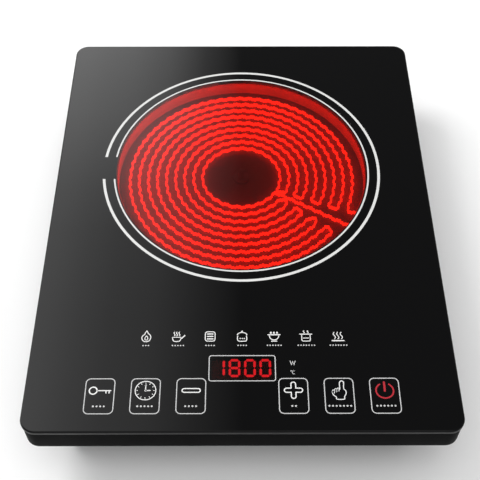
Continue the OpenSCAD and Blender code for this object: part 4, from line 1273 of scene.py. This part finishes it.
# %% Edge wear group and moulded plastic
def edge_polish():
    """A mask that is 1 on convex edges, broken up by a slow noise."""
    tree, given, result = group_tree("edge_polish", dict(Sharpness=1.0), ("Mask",))
    shape = node(tree, "ShaderNodeNewGeometry")
    place = node(tree, "ShaderNodeTexCoord")
    cloud = node(tree, "ShaderNodeTexNoise", Scale=70.0, Detail=2.0)
    tight = node(tree, "ShaderNodeMapRange", interpolation_type="SMOOTHSTEP", From_Min=0.52,
                 From_Max=0.62)
    join(tree, (shape, "Pointiness", tight, "Value"), (place, "Object", cloud, "Vector"))
    broken = math_node(tree, "MULTIPLY", tight.outputs["Result"], cloud.outputs["Fac"])
    join(tree,
         (math_node(tree, "MULTIPLY", broken, given.outputs["Sharpness"], clamp=True), result,
          "Mask"))
    return tree


POLISH = edge_polish()


def moulded(name, colour, rough, grain=2200.0, bump=0.35, worn=0.5, shine=0.5):
    """Moulded plastic with a fine texture, smoother and a little paler where it is handled."""
    material, tree, shader = start_finish(name)
    effect = node(tree, "ShaderNodeGroup", node_tree=GRAIN, Color=(*colour, 1), Grain=grain,
                  Roughness=rough)
    wear = node(tree, "ShaderNodeGroup", node_tree=POLISH, Sharpness=worn)
    pale = node(tree, "ShaderNodeMix", data_type="RGBA")
    pale.inputs[7].default_value = (*(min(1, c * 2.2 + 0.01) for c in colour), 1)
    join(tree, (wear, "Mask", pale, "Factor"), (effect, "Color", pale, 6),
         (pale, 2, shader, "Base Color"),
         (math_node(tree, "MULTIPLY_ADD", wear.outputs["Mask"], -0.2, effect.outputs["Roughness"],
                    clamp=True), shader, "Roughness"))
    set_values(shader, Specular_IOR_Level=shine)
    raise_surface(tree, shader, effect.outputs["Height"], bump)
    return material


skirt_plastic = moulded("skirt_plastic", (0.0018, 0.0018, 0.0019), 0.5, worn=0.03, shine=0.02)
black_plastic = moulded("black_plastic", (0.011, 0.011, 0.0115), 0.5, worn=0.4, shine=0.35)
foot_rubber = grained("foot_rubber", (0.02, 0.02, 0.021), 0.8, grain=1800, spread=0.15, bump=0.35)
gland_rubber = moulded("gland_rubber", (0.016, 0.016, 0.016), 0.6, grain=1400)

# %% [markdown]
# ## The skirt
#
# The upper frame is one moulding: a skirt round the edge and a ledge that carries the glass, with
# posts on the underside for the screws. A rounded rectangle is drawn at each level of its
# cross-section and the levels are joined, which gives true fillets along the skirt's edges.

# %% Skirt, ledge and posts
frame_low, frame_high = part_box("upper_frame")
FRAME_WIDE, FRAME_DEEP = frame_high.x - frame_low.x, frame_high.y - frame_low.y
FRAME_CORNER = GLASS_CORNER - 0.5 * MM
FRAME_WALL, LEDGE_WIDE, LEDGE_T = 2.4 * MM, 12 * MM, 2 * MM
SKIRT_FILLET, SHOULDER = 0.7 * MM, 0.5 * MM
POST_R, POST_BORE = 4 * MM, 1.5 * MM
TRAY_SHEET, TRAY_SCREW_HEAD, BORE_DEEP = 1.5 * MM, 2 * MM, 9 * MM
BREAK = 0.3 * MM
tub_low, tub_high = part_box("bottom_housing")


def skirt():
    low, high = frame_low.z, frame_high.z
    levels = [(FRAME_WALL, high - LEDGE_T), (FRAME_WALL, low + 0.4 * MM),
              (FRAME_WALL - 0.4 * MM, low)]
    levels += arc(SKIRT_FILLET, low + SKIRT_FILLET, -SKIRT_FILLET, SKIRT_FILLET, -90, 0, 5)
    levels += arc(SHOULDER, high - SHOULDER, -SHOULDER, SHOULDER, 0, 90, 5)
    levels += [(FRAME_WALL + LEDGE_WIDE, high), (FRAME_WALL + LEDGE_WIDE, high - LEDGE_T)]
    sections = [(FRAME_WIDE - 2 * i, FRAME_DEEP - 2 * i, max(FRAME_CORNER - i, 0.6 * MM), z) for i,
                z in levels]
    bm = loft(sections, ring=True, steps=12)
    tray_top = solids("tray_screws")[0][0].z + TRAY_SCREW_HEAD + TRAY_SHEET
    for name, foot in (("case_screws", tub_high.z), ("tray_screws", tray_top)):
        bore_top, top = foot + BORE_DEEP, high - LEDGE_T / 2
        for box in solids(name):
            lathe(bm, [(0, bore_top), (POST_BORE, bore_top), (POST_BORE, foot),
                       (POST_R - BREAK, foot),
                       (POST_R, foot + BREAK), (POST_R, top), (0, top)], middle(box), 28)
    return to_mesh(bm, "upper_skirt")


piece("upper_skirt", skirt(), "casing", "black_casing", skirt_plastic, replaces=("upper_frame",))
print("skirt", round(FRAME_WIDE, 4), "x", round(FRAME_DEEP, 4))

# %% [markdown]
# ## The tub and its vents
#
# Air comes in through a grille under the fan and leaves through rows of slots in the walls. In
# the mould, each slot is a steel blade with round ends. Here the same idea is used: a tree lays
# out a row of such blades, and a Boolean takes them out of the wall.

# %% Rows of blades
def blade_row():
    tree, given, finish_with = start_tree(
        "blade_row", Count=9, Pitch=0.0064, Wide=0.0032, Tall=0.016, Deep=0.008)
    line = node(tree, "GeometryNodeMeshLine")
    step = node(tree, "ShaderNodeCombineXYZ")
    start = node(tree, "ShaderNodeCombineXYZ")
    front = node(tree, "ShaderNodeCombineXYZ")
    back = node(tree, "ShaderNodeCombineXYZ")
    section = node(tree, "GeometryNodeCurvePrimitiveQuadrilateral")
    ends = node(tree, "GeometryNodeFilletCurve", mode="POLY", Count=4)
    depth = node(tree, "GeometryNodeCurvePrimitiveLine")
    upright = node(tree, "GeometryNodeSetCurveNormal", mode="Z_UP")
    sweep = node(tree, "GeometryNodeCurveToMesh", Fill_Caps=True)
    copies = node(tree, "GeometryNodeInstanceOnPoints")
    centres = node(tree, "GeometryNodeInstanceOnPoints")
    half = math_node(tree, "MULTIPLY", math_node(tree, "SUBTRACT", given.outputs["Count"], 1.0),
                     -0.5)
    join(tree, (given, "Pitch", step, "X"), (step, "Vector", line, "Offset"),
         (math_node(tree, "MULTIPLY", half, given.outputs["Pitch"]), start, "X"),
         (start, "Vector", line, "Start Location"), (given, "Count", line, "Count"),
         (math_node(tree, "MULTIPLY", given.outputs["Deep"], -0.5), front, "Y"),
         (math_node(tree, "MULTIPLY", given.outputs["Deep"], 0.5), back, "Y"),
         (front, "Vector", depth, "Start"), (back, "Vector", depth, "End"),
         (given, "Wide", section, "Width"), (given, "Tall", section, "Height"),
         (section, "Curve", ends, "Curve"),
         (math_node(tree, "MULTIPLY", given.outputs["Wide"], 0.49), ends, "Radius"),
         (depth, "Curve", upright, "Curve"), (upright, "Curve", sweep, "Curve"),
         (ends, "Curve", sweep, "Profile Curve"), (line, "Mesh", copies, "Points"),
         (sweep, "Mesh", copies, "Instance"), (given, "Geometry", centres, "Points"),
         (copies, "Instances", centres, "Instance"))
    finish_with(centres.outputs["Instances"])
    return tree


BLADES = blade_row()
SLOT_PITCH, SLOT_WIDE, SLOT_TALL, SLOT_CUT = 6.4 * MM, 3.2 * MM, 16 * MM, 8 * MM
REAR_SLOTS, SIDE_SLOTS = 9, 14
REAR_ROWS = (-8 * MM, 47 * MM)
GRILLE_R, GRILLE_SIDE_BARS = 35 * MM, 5
FOOT_HOLE_R, SCREW_HOLE_R, CORD_HOLE_R = 3 * MM, 1.8 * MM, 6 * MM
BELOW, ABOVE = MM, 4 * MM
VENT_Z = tub_low.z + 17.5 * MM
TUB_STEP = 13 * MM
TUB_WALL, TUB_CORNER, FLANGE_CORNER = 2.5 * MM, 14 * MM, 6.5 * MM
TUB_WIDE = tub_high.x - tub_low.x - 2 * TUB_STEP
TUB_DEEP = tub_high.y - tub_low.y - 2 * TUB_STEP
rear_y = TUB_DEEP / 2 - TUB_WALL / 2
side_x = TUB_WIDE / 2 - TUB_WALL / 2
blade_size = dict(pitch=SLOT_PITCH, wide=SLOT_WIDE, tall=SLOT_TALL, deep=SLOT_CUT,
                  finish=black_plastic)
rear_blades = grow("rear_blades", BLADES, points_mesh([(x, rear_y, VENT_Z) for x in REAR_ROWS]),
                   count=REAR_SLOTS, **blade_size)
side_blades = grow("side_blades", BLADES, points_mesh([(0, y, VENT_Z) for y in (side_x, -side_x)]),
                   count=SIDE_SLOTS, **blade_size)
side_blades.transform(Matrix.Rotation(math.pi / 2, 4, "Z"))

# %% [markdown]
# The tub itself is drawn like the skirt, level by level: outside floor, rounded heel, wall,
# flange, and back down the inside. After the blades are taken out, a small bevel breaks the sharp
# slot edges. The bosses that carry the fan, the boards and the heater's springs stand on its
# floor.

# %% Tub shell
fan_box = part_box("fan_frame")
fan_at = middle(fan_box)
gland_low, gland_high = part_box("cord_gland")
gland_at = (gland_low + gland_high) / 2
HEEL, FLOOR_T, INNER_HEEL = 3 * MM, 2.5 * MM, 1.5 * MM


def tub_shell():
    low, high = tub_low.z, tub_high.z
    inside, inner_corner = TUB_STEP + TUB_WALL, TUB_CORNER - TUB_WALL
    levels = [(inset, z, TUB_CORNER) for inset,
              z in arc(TUB_STEP + HEEL, low + HEEL, -HEEL, HEEL, -90, 0, 6)]
    levels += [(TUB_STEP, high - TUB_WALL, TUB_CORNER), (BREAK, high - TUB_WALL, FLANGE_CORNER),
               (0, high - TUB_WALL + BREAK, FLANGE_CORNER), (0, high - BREAK, FLANGE_CORNER),
               (BREAK, high, FLANGE_CORNER), (inside, high, inner_corner),
               (inside, low + FLOOR_T + INNER_HEEL, inner_corner),
               (inside + INNER_HEEL, low + FLOOR_T, inner_corner - INNER_HEEL)]
    wide, deep = tub_high.x - tub_low.x, tub_high.y - tub_low.y
    bm = loft([(wide - 2 * i, deep - 2 * i, r, z) for i, z, r in levels], steps=10)
    return to_mesh(bm, "tub_shell")


def drill(bm, radius, low, high, at, sides):
    """A plain round block that a Boolean can take away as a hole."""
    lathe(bm, [(0, low), (radius, low), (radius, high), (0, high)], at, sides)


def blades_mesh():
    """Every blade that the mould needs: wall slots, floor grille and the holes for feet, screws and
    the cord."""
    bm = bmesh.new()
    bm.from_mesh(rear_blades)
    bm.from_mesh(side_blades)
    low = tub_low.z
    for i in range(-GRILLE_SIDE_BARS, GRILLE_SIDE_BARS + 1):
        reach = math.sqrt(GRILLE_R ** 2 - (i * SLOT_PITCH) ** 2)
        add_loft(bm, [(SLOT_WIDE, 2 * reach, SLOT_WIDE * 0.49, z)
                      for z in (low - BELOW, low + ABOVE)],
                 (fan_at.x + i * SLOT_PITCH, fan_at.y), 4)
    for name, z, radius, sides in (("rubber_feet", low, FOOT_HOLE_R, 20),
                                   ("case_screws", tub_high.z - TUB_WALL, SCREW_HOLE_R, 16)):
        for box in solids(name):
            drill(bm, radius, z - BELOW, z + ABOVE, middle(box), sides)
    hole = bmesh.new()
    drill(hole, CORD_HOLE_R, -6 * MM, 6 * MM, (0, 0), 40)
    bmesh.ops.transform(hole, matrix=Matrix.Translation((gland_at.x, rear_y, gland_at.z))
                        @ Matrix.Rotation(math.pi / 2, 4, "X"), verts=hole.verts)
    add_bmesh(bm, hole)
    return to_mesh(bm, "tub_blades")


def add_bmesh(bm, other):
    """Pours one bmesh into another."""
    carrier = bpy.data.meshes.new("carrier")
    other.to_mesh(carrier)
    other.free()
    bm.from_mesh(carrier)
    bpy.data.meshes.remove(carrier)


def add_loft(bm, sections, centre, steps=6):
    add_bmesh(bm, loft(sections, centre=centre, steps=steps))


def cut(target, blades, bevel=0.0):
    """Takes the blades out of a mesh with a Boolean, then breaks the new edges with a bevel."""
    holder, tool = add_object("target", target), add_object("blades", blades)
    taken = holder.modifiers.new("cut", "BOOLEAN")
    taken.operation = "DIFFERENCE"
    taken.solver = "EXACT"
    taken.object = tool
    if bevel:
        edge = holder.modifiers.new("edge", "BEVEL")
        edge.width = bevel
        edge.segments = 2
        edge.limit_method = "ANGLE"
        edge.angle_limit = math.radians(50)
        edge.use_clamp_overlap = True
    mesh = evaluated(holder)
    bpy.data.objects.remove(tool)
    mesh.shade_smooth()
    mesh.set_sharp_from_angle(angle=math.radians(35))
    return mesh


# %% Bosses on the floor
BOSS_FOOT = tub_low.z + FLOOR_T - 0.2 * MM
BOSS_BORE, BOSS_BORE_DEEP = 1 * MM, 6 * MM
CUP_WALL = 2 * MM
SPIGOT_R, SPIGOT_TALL, SPIGOT_TAPER = 4.6 * MM, 5 * MM, MM


def boss(bm, at, radius, top, bore=0.0):
    """A post on the floor, with a hole down its middle if a bore is given."""
    top_edge = [(radius, top - BREAK), (radius - BREAK, top)]
    inside = [(bore, top), (bore, top - BOSS_BORE_DEEP),
              (0, top - BOSS_BORE_DEEP)] if bore else [(0, top)]
    lathe(bm, [(0, BOSS_FOOT), (radius, BOSS_FOOT)] + top_edge + inside, at, 24)


def bosses(bm):
    board_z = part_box("power_board")[0].z
    spring_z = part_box("heater_springs")[0].z
    for box in solids("power_board_screws"):
        boss(bm, middle(box), POST_R, board_z, BOSS_BORE)
    for box in solids("fan_screws"):
        boss(bm, middle(box), POST_R, fan_box[0].z)
    for box in solids("heater_springs"):
        radius = (box[1].y - box[0].y) / 2
        boss(bm, middle(box), radius + CUP_WALL, spring_z)
        tip = spring_z + SPIGOT_TALL
        lathe(bm, [(0, spring_z - MM), (SPIGOT_R, spring_z - MM), (SPIGOT_R, tip - SPIGOT_TAPER),
                   (SPIGOT_R - SPIGOT_TAPER, tip), (0, tip)], middle(box), 24)
    low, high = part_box("mains_terminal_block")
    add_loft(bm, [(high.x - low.x, high.y - low.y, 1 * MM, z) for z in (BOSS_FOOT, low.z)],
             (low + high) / 2, 3)


tub = bmesh.new()
tub.from_mesh(cut(tub_shell(), blades_mesh(), 0.35 * MM))
bosses(tub)
tub_mesh = to_mesh(tub, "bottom_tub")
piece("bottom_tub", tub_mesh, "casing", "black_casing", black_plastic, replaces=("bottom_housing",))
print("tub:", len(tub_mesh.polygons), "faces")

# %% [markdown]
# ## Feet, cord bushing and screws
#
# The feet are turned rubber buttons whose stem snaps into the floor. The bushing is a collar with
# a bore, turned about the line of the cord. Each size of screw is made once: a domed head with a
# crossed recess, and a shank. A tree then puts a copy at every place that the CAD solids give.

# %% Feet
FOOT_PROFILE = ([(0, 0)] + arc(6.6, 1.6, 1.6, 1.6, -90, -10, 4) + arc(6.9, 6.2, 0.8, 0.8, 20, 90, 4)
                + [(3, 7), (3, 9.5), (4.1, 9.5), (4.1, 9.8), (3, 10.7), (0, 10.7)])
foot = lathe(bmesh.new(), [(r * MM, z * MM) for r, z in FOOT_PROFILE], (0, 0), 40)
feet = repeat("foot_set", to_mesh(foot, "foot"),
              [(middle(b).x, middle(b).y, 0) for b in solids("rubber_feet")], foot_rubber)
piece("foot_set", feet, "casing", "foot_rubber", foot_rubber, replaces=("rubber_feet",))

# %% Cord bushing
GLAND_PROFILE = ([(3.6, -14), (3.6, 0)] + arc(4.3, -0.7, 0.7, 0.7, 180, 90, 3)
                 + arc(5.3, -0.7, 0.7, 0.7, 90, 0, 3)
                 + [(6, -6.5)] + arc(7.2, -7.3, 0.8, 0.8, 90, 0, 4)
                 + arc(7.2, -8.2, 0.8, 0.8, 0, -90, 4) + [(6, -9)]
                 + [(6, -11.5), (8, -11.5), (8, -13.4), (7.4, -14)])
turned = turned_ring([(r * MM, z * MM) for r, z in GLAND_PROFILE], (0, 0), 48)
bmesh.ops.transform(turned, matrix=Matrix.Translation((gland_at.x, gland_high.y, gland_at.z))
                    @ Matrix.Rotation(-math.pi / 2, 4, "X"), verts=turned.verts)
piece("cord_bushing", to_mesh(turned, "cord_bushing"), "casing", "gland_plastic", gland_rubber,
      replaces=("cord_gland",))

# %% Screws
zinc = metal_lined("zinc", (0.62, 0.62, 0.63), 0.34, (1500, 1500, 60))


def screw(head_r, head_h, shank_r, length, head_below):
    """A screw with a domed head and a crossed recess. Its lowest point is at height 0."""
    crown = [(head_r - 0.3 * MM + x, 0.35 * MM + y) for x,
             y in arc(0, 0, 0.3 * MM, 0.35 * MM, -70, 0, 3)]
    profile = ([(0, 0), (head_r * 0.7, 0)] + crown
               + [(head_r, head_h - 0.1 * MM), (head_r - 0.1 * MM, head_h),
               (shank_r, head_h), (shank_r, length - shank_r * 0.8), (shank_r * 0.3, length),
               (0, length)])
    shape = to_mesh(lathe(bmesh.new(), profile, (0, 0), 28), "screw")
    arm, half = head_r * 0.55, head_r * 0.13
    cross = [(half, half), (half, arm), (-half, arm), (-half, half), (-arm, half), (-arm, -half),
             (-half, -half), (-half, -arm), (half, -arm), (half, -half), (arm, -half), (arm, half)]
    recess = bmesh.new()
    ends = [[recess.verts.new((x, y, z)) for x, y in cross] for z in (-MM, head_h * 0.6)]
    bridge(recess, ends, False)
    for end in ends:
        recess.faces.new(end)
    first = cut(shape, to_mesh(recess, "recess"))
    if not head_below:
        first.transform(Matrix.Translation((0, 0, length)) @ Matrix.Rotation(math.pi, 4, "X"))
    return first


for name in ("case_screws", "tray_screws", "fan_screws", "shield_screws", "power_board_screws",
             "mains_block_screws", "control_board_screws"):
    boxes = solids(name)
    low, high = boxes[0]
    head_r = (high.y - low.y) / 2
    small = head_r < 2.5 * MM
    shape = screw(head_r, 1.2 * MM if small else 2 * MM, MM if small else 1.5 * MM, high.z - low.z,
                  name in ("case_screws", "tray_screws"))
    places = [(middle(b).x, middle(b).y, b[0].z) for b in boxes]
    piece(name + "_turned", repeat(name + "_turned", shape, places, zinc), "casing", "zinc_screws",
          zinc, replaces=(name,))

# %% [markdown]
# ## Springs and leads
#
# Three coil springs press the heater up against the glass, and small ones carry the touch of a
# finger from the glass to the board. A coil is a circle swept along a helix. The heater's leads
# and the earth lead are soft wires; here they are welded, smooth-shaded copies of their CAD shape.

# %% Coils
def coil_tree():
    tree, given, finish_with = start_tree("coil", Turns=4.0, Radius=0.006, Tall=0.01, Wire=0.0004)
    helix = node(tree, "GeometryNodeCurveSpiral", Resolution=36)
    section = node(tree, "GeometryNodeCurvePrimitiveCircle", Resolution=10)
    sweep = node(tree, "GeometryNodeCurveToMesh", Fill_Caps=True)
    copies = node(tree, "GeometryNodeInstanceOnPoints")
    join(tree, (given, "Turns", helix, "Rotations"), (given, "Radius", helix, "Start Radius"),
         (given, "Radius", helix, "End Radius"), (given, "Tall", helix, "Height"),
         (given, "Wire", section, "Radius"), (helix, "Curve", sweep, "Curve"),
         (section, "Curve", sweep, "Profile Curve"), (given, "Geometry", copies, "Points"),
         (sweep, "Mesh", copies, "Instance"))
    finish_with(copies.outputs["Instances"])
    return tree


COIL = coil_tree()
spring_wire = metal_lined("spring_wire", (0.55, 0.56, 0.58), 0.3, (1200, 1200, 1200))


def coils(name, node_name, wire, turns):
    boxes = solids(node_name)
    low, high = boxes[0]
    places = [(middle(b).x, middle(b).y, b[0].z + wire * 1.05) for b in boxes]
    return grow(name, COIL, points_mesh(places), turns=turns,
                radius=(high.y - low.y) / 2 - wire * 1.1,
                tall=high.z - low.z - wire * 2.1, wire=wire, finish=spring_wire)


heater_coils = piece("heater_coils", coils("heater_coils", "heater_springs", 0.8 * MM, 4.0),
                     "casing", "spring_steel",
                     spring_wire, replaces=("heater_springs",))
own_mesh(heater_coils)
piece("touch_coils", coils("touch_coils", "touch_springs", 0.4 * MM, 3.0), "casing", "spring_steel",
      spring_wire,
      replaces=("touch_springs",))

# %% Leads
def soft_copy(name, node_name, slot, material):
    """A welded, smooth-shaded copy of a CAD lead."""
    bm = bmesh.new()
    bm.from_mesh(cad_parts[node_name].data)
    bmesh.ops.remove_doubles(bm, verts=bm.verts, dist=1e-6)
    made = piece(name, to_mesh(bm, name, 50), "casing", slot, material, replaces=(node_name,))
    made.data.materials.clear()
    made.data.materials.append(material)
    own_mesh(made)
    return made


sleeve = wound("glass_fibre_sleeve", (0.80, 0.78, 0.72), (0.45, 0.43, 0.38), (2500, 2500, 2500),
               rough=0.8)
green_wire = grained("green_wire", (0.12, 0.30, 0.03), 0.4, spread=0.25, grain=60)
soft_copy("heater_sleeves", "heater_leads", "lead_sleeve", sleeve)
soft_copy("earth_wire", "earth_lead", "wire_green", green_wire)

# %% [markdown]
# ## Finishes for the parts that keep their CAD shape
#
# Everything inside the casing keeps the shape of its CAD node. Each part gets the finish of the
# material that it is made of in a real hob: pressed steel, steatite, enamelled copper, soldered
# fibreglass board, nylon.

# %% Finishes inside the casing
pressed_steel = metal_lined("pressed_steel", (0.58, 0.58, 0.57), 0.38, (300, 300, 300))
FINISHES = [
    (grained("grey_silicone", (0.05, 0.05, 0.05), 0.7, grain=1500, bump=0.2), ["glass_seal"]),
    (pressed_steel, ["heater_dish"]),
    (fibre_bed, ["insulation_base"]),
    (metal_lined("plated_pins", (0.66, 0.65, 0.62), 0.3), ["element_pins"]),
    (metal_lined("sensor_steel", (0.50, 0.50, 0.51), 0.36, (900, 900, 200)), ["glass_sensor"]),
    (grained("steatite", (0.78, 0.75, 0.66), 0.55, grain=900, spread=0.1),
     ["heater_terminal_block"]),
    (grained("phenolic", (0.045, 0.03, 0.025), 0.45, grain=700, spread=0.25), ["thermal_cutout"]),
    (metal_lined("ground_shaft", (0.60, 0.60, 0.62), 0.2, (2000, 2000, 100)), ["fan_shaft"]),
    (metal_lined("mill_aluminium", (0.72, 0.73, 0.74), 0.34, (2500, 60, 2500)), ["heat_shield"]),
    (metal_lined("cast_aluminium", (0.62, 0.63, 0.64), 0.42, (500, 500, 500)), ["heat_sink"]),
    (moulded("fan_plastic", (0.018, 0.018, 0.02), 0.45, grain=1600), ["fan_frame", "fan_impeller"]),
    (wound("enamelled_copper", (0.60, 0.22, 0.06), (0.15, 0.04, 0.01), (0, 0, 9000), rough=0.3,
           metal=1.0),
     ["fan_stator", "line_choke"]),
    (grained("sintered_bronze", (0.42, 0.28, 0.10), 0.5, grain=2500, spread=0.2, metal=1.0),
     ["fan_bearing"]),
    (grained("bonded_ferrite", (0.04, 0.04, 0.042), 0.6, grain=1800, spread=0.2), ["fan_magnet"]),
    (grained("red_pvc", (0.40, 0.012, 0.012), 0.4, grain=900), ["fan_lead"]),
    (grained("brown_pvc", (0.12, 0.045, 0.015), 0.4, grain=900), ["mains_wires"]),
    (grained("solder_mask", (0.012, 0.10, 0.035), 0.35, grain=350, spread=0.3, coat=0.3),
     ["power_board", "control_board"]),
    (grained("moulded_epoxy", (0.012, 0.012, 0.013), 0.5, grain=1500),
     ["triac", "controller_chip", "buzzer"]),
    (grained("relay_case", (0.02, 0.06, 0.22), 0.3, grain=400), ["relay"]),
    (grained("varistor_coat", (0.02, 0.09, 0.30), 0.4, grain=600, spread=0.15), ["varistor"]),
    (wound("winding_tape", (0.70, 0.52, 0.05), (0.45, 0.32, 0.03), (0, 0, 2500), rough=0.3),
     ["transformer"]),
    (grained("capacitor_case", (0.62, 0.50, 0.10), 0.35, grain=700), ["x_capacitor"]),
    (grained("shrink_sleeve", (0.012, 0.012, 0.09), 0.3, grain=200, spread=0.15),
     ["smoothing_capacitors"]),
    (grained("white_nylon", (0.72, 0.72, 0.69), 0.45, grain=900),
     ["board_connectors", "mains_terminal_block", "control_tray", "function_lights"]),
    (grained("glazed_tube", (0.70, 0.70, 0.64), 0.25, grain=500, coat=0.5), ["fuse"]),
    (wound("flat_cable", (0.55, 0.55, 0.54), (0.30, 0.30, 0.30), (5000, 0, 0), rough=0.5),
     ["ribbon_cable"]),
]
for finish, names in FINISHES:
    for name in names:
        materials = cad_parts[name].data.materials
        materials.clear()
        materials.append(finish)
print("finishes inside:", len(FINISHES))

# %% [markdown]
# ## The floor and the light
#
# The hob stands on a plain pale floor. A large soft lamp from the left and behind throws its
# shadow forwards and to the right. The sky is pale at the horizon and dimmer overhead, so the
# floor stays nearly white while the shadow under the skirt keeps its depth.

# %% Stage
floor_mesh = bpy.data.meshes.new("floor")
FLOOR_HALF = 25.0
floor_mesh.from_pydata([(x * FLOOR_HALF, y * FLOOR_HALF, -0.02 * MM) for x,
                        y in ((-1, -1), (1, -1), (1, 1), (-1, 1))],
                       [], [(0, 1, 2, 3)])
floor_mesh.materials.append(grained("pale_floor", (0.88, 0.88, 0.88), 0.9, grain=40, spread=0.0,
                                    bump=0.0))
add_object("floor", floor_mesh)

SKY_HORIZON, SKY_TOP = 1.05, 0.70
world = bpy.data.worlds.new("pale_sky")
bpy.context.scene.world = world
world.use_nodes = True
sky = world.node_tree
direction = node(sky, "ShaderNodeTexCoord")
height = node(sky, "ShaderNodeSeparateXYZ")
fade = node(sky, "ShaderNodeMapRange", interpolation_type="SMOOTHSTEP", From_Max=0.7,
            To_Min=SKY_HORIZON, To_Max=SKY_TOP)
join(sky, (direction, "Generated", height, 0), (height, "Z", fade, "Value"),
     (fade, "Result", sky.nodes["Background"], "Strength"))
sky.nodes["Background"].inputs["Color"].default_value = (1, 1, 1, 1)


def soft_lamp(name, place, wide, deep, watts):
    """A rectangular white lamp that is turned towards the middle of the hob."""
    data = bpy.data.lights.new(name, "AREA")
    data.shape = "RECTANGLE"
    data.size, data.size_y = wide, deep
    data.energy = watts
    made = add_object(name, data)
    made.location = place
    made.rotation_euler = (Vector() - Vector(place)).to_track_quat("-Z", "Y").to_euler()


soft_lamp("key_lamp", (-1.5, 1.0, 2.0), 1.2, 1.2, 36)
soft_lamp("front_lamp", (0, -0.35, 2.2), 1.6, 1.5, 10)

# %% [markdown]
# Polished black glass shows whatever is above and behind it. In a studio that is a pale card,
# bright to the left and the rear and falling away to the right. It is seen only in reflections,
# so it adds nothing to the floor.

# %% Reflection card
CARD_Z, CARD_X, CARD_Y = 1.56, (-0.8, 0.8), (0.3, 2.2)
BRIGHTEST = 3.0


def graded(tree, socket, stops):
    """A value that follows straight lines between the given (place, value) stops."""
    low, high = stops[0][0], stops[-1][0]
    spread = node(tree, "ShaderNodeMapRange", From_Min=low, From_Max=high)
    ramp = node(tree, "ShaderNodeValToRGB").color_ramp
    holder = tree.nodes[-1]
    for place, value in stops[1:-1]:
        ramp.elements.new((place - low) / (high - low))
    for element, (place, value) in zip(ramp.elements, stops):
        shade = value / BRIGHTEST
        element.color = (shade, shade, shade, 1)
    ramp.elements[0].position, ramp.elements[len(stops) - 1].position = 0, 1
    join(tree, (socket, spread, "Value"), (spread, "Result", holder, 0))
    return holder.outputs["Color"]


def card_finish():
    material = bpy.data.materials.new("card")
    material.use_nodes = True
    tree = material.node_tree
    tree.nodes.clear()
    place = node(tree, "ShaderNodeTexCoord")
    axes = node(tree, "ShaderNodeSeparateXYZ")
    join(tree, (place, "Object", axes, 0))
    near = graded(tree, axes.outputs["X"],
                  [(-0.8, 1.9), (-0.506, 1.29), (-0.476, 1.19), (-0.4255, 1.0), (-0.341, 0.76),
                                            (-0.225, 0.62), (-0.11, 0.33), (0.006, 0.085),
                                            (0.8, 0.085)])
    far = graded(tree, axes.outputs["X"],
                 [(-0.8, 2.9), (-0.506, 2.6), (-0.476, 2.55), (-0.4255, 2.36), (-0.341, 2.13),
                                           (-0.225, 1.5), (-0.11, 0.6), (0.006, 0.12), (0.8, 0.09)])
    back = graded(tree, axes.outputs["Y"],
                  [(0.846, 0), (1.135, 0.24), (1.29, 0.66), (1.444, 1.41), (1.598, 2.1),
                   (1.875, 3.0)])
    mix = node(tree, "ShaderNodeMix", data_type="RGBA")
    glow = node(tree, "ShaderNodeEmission")
    out = node(tree, "ShaderNodeOutputMaterial")
    glow.inputs["Strength"].default_value = BRIGHTEST
    join(tree, (back, mix, "Factor"), (near, mix, 6), (far, mix, 7), (mix, 2, glow, "Color"),
         (glow, 0, out, "Surface"))
    return material


card_mesh = bpy.data.meshes.new("reflection_card")
card_mesh.from_pydata([(CARD_X[0], CARD_Y[0], CARD_Z), (CARD_X[1], CARD_Y[0], CARD_Z),
                       (CARD_X[1], CARD_Y[1], CARD_Z), (CARD_X[0], CARD_Y[1], CARD_Z)], [],
                       [(0, 3, 2, 1)])
card_mesh.materials.append(card_finish())
card = add_object("reflection_card", card_mesh)
for ray in ("visible_camera", "visible_diffuse", "visible_shadow", "visible_transmission"):
    setattr(card, ray, False)
